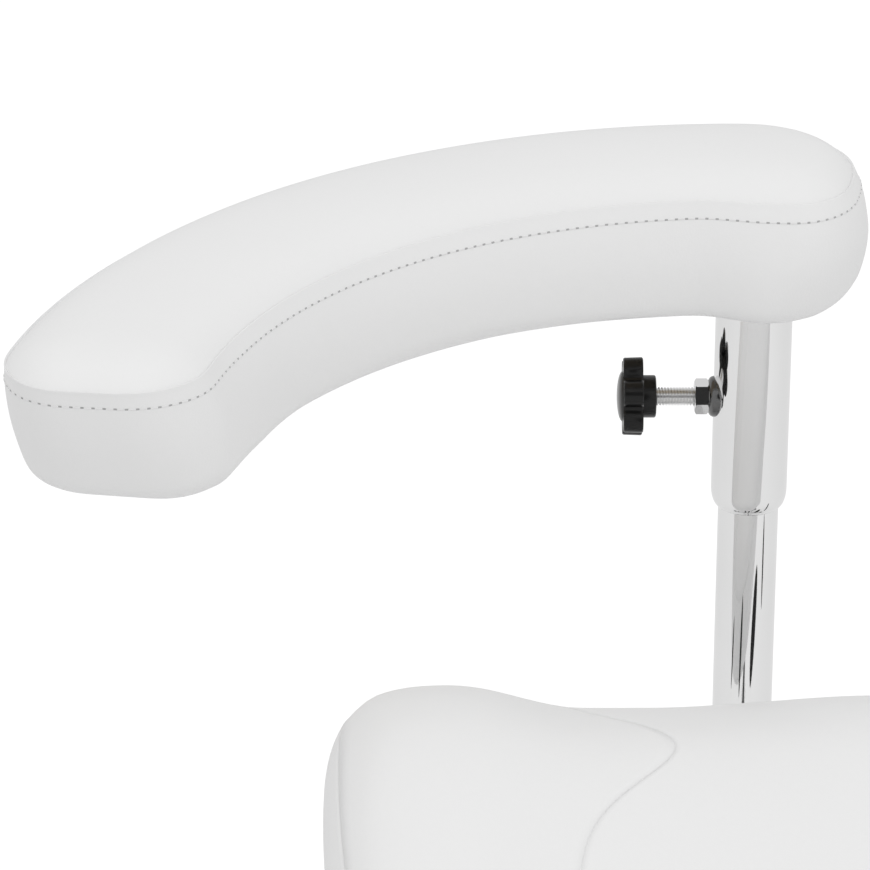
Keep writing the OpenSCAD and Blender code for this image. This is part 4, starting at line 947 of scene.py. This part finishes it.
def over_board(plan):
    """Draws points of the outline in to the hollow that the board sits in."""
    inset = BOARD_INSET - BOARD_GAP
    along = np.arctan2(-(plan[:, 0] + PAD_CENTRE_BACK), plan[:, 1]) * PAD_MIDDLE
    across = np.hypot(plan[:, 0] + PAD_CENTRE_BACK, plan[:, 1])
    along = np.clip(along, -PAD_FRONT + inset, PAD_BACK - inset)
    front, back = along + PAD_FRONT, PAD_BACK - along
    low = PAD_INNER + inset + corner_cut(front - inset, 0.009) + corner_cut(back - inset, 0.008)
    high = PAD_OUTER - inset - corner_cut(front - inset, 0.029) - corner_cut(back - inset, 0.012)
    set_in = BOARD_SET_IN * (front / (PAD_FRONT + PAD_BACK)) ** 4
    return pad_place(along - set_in, np.clip(across, low, high))


hollow_sides = [over_board(side) for side in seam_sides]
hollow_ring = np.concatenate([side[:-1] for side in hollow_sides])
hollow_top = PAD_UNDER + BOARD_THICKNESS + BOARD_GAP
roof = patch(hollow_sides[0], hollow_sides[2][::-1], hollow_sides[3][::-1], hollow_sides[1])
pad_cover = sew_cover(
    "pad_upholstery", [top_panel, lift(roof, np.full(roof.shape[:2], hollow_top))[:, ::-1]],
    [lift(hollow_ring, hollow_top), lift(hollow_ring, PAD_UNDER), *pad_rings],
    [pad_rings[-2]])
fill_out(pad_cover, lambda point: point.z < PAD_UNDER + 0.004, shrink=0.001, pressure=2.0, limit=0.0022)
apply(pad_cover, "SUBSURF", levels=1, render_levels=1)
finish_piece(pad_cover, "pad_upholstery", leathercloth, "sleeve", ["pad_cushion"], angle=180)

# Topstitching of the arm pad: thread through the side band, 7 mm below the seam all the way round.
# Each stitch lies on the cover as a short round thread that ends in two needle holes, drawn as grey discs of painted
# shade.
thread = Finish("white_thread", 0.80, 0.75).material
needle_hole_painted_shade = Finish("needle_hole_painted_shade", 0.44, 0.9).material


def on_cover(piece, points, away):
    """The places on a cover that points beside it reach when they are pushed straight in, and their normals."""
    found = []
    for point, out in zip(points, away):
        hit, place, normal = piece.ray_cast(Vector(point + out * 0.03), -Vector(out))[:3]
        if hit:
            found.append((place, normal))
    return found


def sew_line(name, places, body, pitch=0.0041):
    """A closed run of stitches on a cover: each thread dives into its needle holes at both ends, drawn as grey discs
    of painted shade.
    """
    points, normals = (np.array([*values, values[0]]) for values in zip(*places))
    run = np.concatenate([[0], np.cumsum(np.linalg.norm(np.diff(points, axis=0), axis=1))])
    count = int(run[-1] / pitch)
    middles = (np.arange(count) + 0.5) * run[-1] / count

    def read(distance, values):
        return np.stack([np.interp(distance, run, values[:, k]) for k in range(3)], -1)

    def at(distance):
        """The place and the cover's normal at a distance along the line, and the way that the line runs there."""
        return (read(distance, points), read(distance, normals),
                read(distance + 0.0004, points) - read(distance - 0.0004, points))

    stations = [(-0.41, -0.00040, 0.00020), (-0.30, 0.00008, 0.00026), (0, 0.00016, 0.00027),
                (0.30, 0.00008, 0.00026), (0.41, -0.00040, 0.00020)]
    turns = np.radians(np.arange(0, 360, 60))
    verts, faces = [], []
    for middle in middles:
        first = len(verts)
        for share, height, thick in stations:
            place, up, along = at(middle + share * pitch)
            side = np.cross(along, up)
            side /= np.linalg.norm(side)
            verts.extend(place + up * height + thick * (math.cos(t) * up + math.sin(t) * side) for t in turns)
        for ring in range(len(stations) - 1):
            for i in range(6):
                k = (i + 1) % 6
                faces.append([first + ring * 6 + i, first + ring * 6 + k,
                              first + ring * 6 + 6 + k, first + ring * 6 + 6 + i])
        faces.append([first + i for i in range(5, -1, -1)])
        faces.append([first + 24 + i for i in range(6)])
    threads = len(faces)
    # Needle holes: flat grey discs laid on the cover, painted shade where the thread goes into the cloth.
    for middle in middles:
        for share in (-0.44, 0.44):
            place, up, along = at(middle + share * pitch)
            along *= 0.00062 / np.linalg.norm(along)
            side = np.cross(up, along) * 0.7
            faces.append([len(verts) + i for i in range(6)])
            verts.extend(place + up * 0.00005 + math.cos(t) * along + math.sin(t) * side for t in turns)
    piece = drawn(name, verts, [], faces)
    piece.data.materials.append(thread)
    piece.data.materials.append(needle_hole_painted_shade)
    piece.data.polygons.foreach_set("material_index", [int(i >= threads) for i in range(len(faces))])
    piece.data.update()
    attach(piece, body)


PAD_STITCH_BELOW, AROUND_POINTS = 0.007, 900
around = spread(np.concatenate([pad_ring, pad_ring[:1]]), AROUND_POINTS)
line = on_cover(pad_cover, lift(around[:-1], PAD_UNDER + PAD_DEPTH - PAD_STITCH_BELOW),
                lift(outward(around[:-1]), 0.0))
sew_line("pad_topstitching", line, "sleeve")

# Pad board: 10 mm birch plywood under the foam, screwed to a zinc-plated plate on top of the sleeve.
# Its pale grain runs along the board, and its edges are lightly rounded.
birch = Finish("birch_plywood", (0.60, 0.51, 0.39), 0.62)
grain = birch.noise(60, 3, (0.25, 3, 1))
fleck = birch.noise(240, 2, (0.3, 2, 1))
birch.relief(fleck * 0.4 + grain * 0.6, 0.0001)
birch.vary_grey(grain * 0.7 + fleck * 0.3, (0.54, 0.45, 0.33), (0.66, 0.57, 0.45))
birch.feed("Roughness", fleck * 0.15 + 0.55)
dress(["pad_board"], birch.material, 0.0004)
dress(["pad_plate"], zinc, 0.0005)
dress(["pad_screws"], zinc, 0.0004)

# Clamp screw: an M8 screw, 1.25 mm from thread to thread, bright zinc plate, with its end on a brass shoe.
# Its hexagon head is moulded into the knob, so turning the knob drives it through the nut.
PITCH, THREAD_RADIUS, THREAD_ROOT, SCREW_TIP = 0.00125, 0.0040, 0.00335, 0.0148
THREAD_TURNS = 21
tooth = [(THREAD_ROOT, 0), (THREAD_ROOT, 0.00012), (THREAD_RADIUS - 0.00004, 0.00052), (THREAD_RADIUS, 0.00058),
         (THREAD_RADIUS, 0.00068), (THREAD_RADIUS - 0.00004, 0.00074), (THREAD_ROOT, 0.00114), (THREAD_ROOT, PITCH)]
screw = drawn("screw", [(x, 0, z) for x, z in tooth], [(i, i + 1) for i in range(len(tooth) - 1)], [])
apply(screw, "SCREW", axis="Z", angle=math.radians(360), screw_offset=PITCH, iterations=THREAD_TURNS, steps=36,
      render_steps=36, use_merge_vertices=True, merge_threshold=0.000002)
core = turned("core", [(0.0026, -0.0006), (THREAD_ROOT - 0.00005, 0), (THREAD_ROOT - 0.00005, 0.0325)], 48)
apply(core, "BEVEL", width=0.0002, segments=2, limit_method="ANGLE")
shank = turned("shank", [(0.0036, 0.0262), (0.00365, 0.0264), (0.00365, 0.0325)], 48)
screw = placed(join([screw, core, shank]), to_knob, on_screw(SCREW_TIP + 0.0006))
screw_zinc = metal("polished_zinc", 0.82, 0.16, 0.06)
finish_piece(screw, "clamp_screw_threaded", screw_zinc, "screw", ["clamp_screw"], angle=30)
dress(["clamp_shoe"], brass, 0.0003)

# Star knob: six lobes round a hub, moulded in glossy black plastic, with a smooth grey-black cap pressed in.
# Each lobe is a little narrower towards the cap, as a moulding has to be.
KNOB_OUT, KNOB_THICK, LOBE_RADIUS, LOBE_AT, CORE_RADIUS = 0.0455, 0.0082, 0.0055, 0.0120, 0.0126
LOBES, KNOB_POINTS, LOBE_BLEND = 6, 240, 2600
knob = begin("knob", "circle", vertices=KNOB_POINTS, radius=CORE_RADIUS, location=(0, 0, 0), fill_type="NGON")
bpy.ops.object.mode_set(mode="OBJECT")
for corner in knob.data.vertices:
    turn = math.atan2(corner.co.y, corner.co.x)
    off = (turn + math.pi / LOBES) % (2 * math.pi / LOBES) - math.pi / LOBES
    reach = CORE_RADIUS
    if abs(LOBE_AT * math.sin(off)) < LOBE_RADIUS:
        lobe = LOBE_AT * math.cos(off) + math.sqrt(LOBE_RADIUS ** 2 - (LOBE_AT * math.sin(off)) ** 2)
        reach = math.log(math.exp(lobe * LOBE_BLEND) + math.exp(CORE_RADIUS * LOBE_BLEND)) / LOBE_BLEND
    corner.co *= min(reach, LOBE_AT + LOBE_RADIUS) / CORE_RADIUS
bpy.ops.object.mode_set(mode="EDIT")
bpy.ops.mesh.select_all(action="SELECT")
bpy.ops.transform.resize(value=(0.965, 0.965, 1), center_override=(0, 0, 0))
for higher, wider in [(0.0005, 1.030), (0.0072, 0.985), (0.0005, 0.975)]:
    draw_out((0, 0, higher), (wider, wider, 1), (0, 0, 0))
bpy.ops.mesh.inset(thickness=0.0012)
hub = turned("hub", [(0.0040, -0.0056), (0.0080, -0.0056), (0.0087, -0.0053), (0.0089, -0.0048), (0.0089, -0.0004),
                     (0.0089, 0.0006)], 72)
knob = placed(join([knob, hub]), to_knob, on_screw(KNOB_OUT))
gloss_black = coated("glossy_black_plastic", 0.008, 0.26, 300, 0.00001, 0.03)
gloss_black.node_tree.nodes["Principled BSDF"].inputs["Specular IOR Level"].default_value = 0.3
finish_piece(knob, "star_knob_moulded", gloss_black, "screw", ["star_knob"], angle=32)
cap = placed(turned("cap", [(0.0105, -0.0012), (0.0105, 0.00005)] + [
    (0.0105 * math.cos(math.radians(a)), 0.0001 + 0.0024 * math.sin(math.radians(a)))
    for a in (5, 10, 20, 30, 40, 50, 60, 70, 80, 86, 89.5)], 96), to_knob, on_screw(KNOB_OUT + KNOB_THICK))
cap_gloss = coated("grey_black_cap", 0.035, 0.16, 300, 0.00001, 0.02)
finish_piece(cap, "knob_cap_domed", cap_gloss, "screw", ["knob_cap"], angle=60)
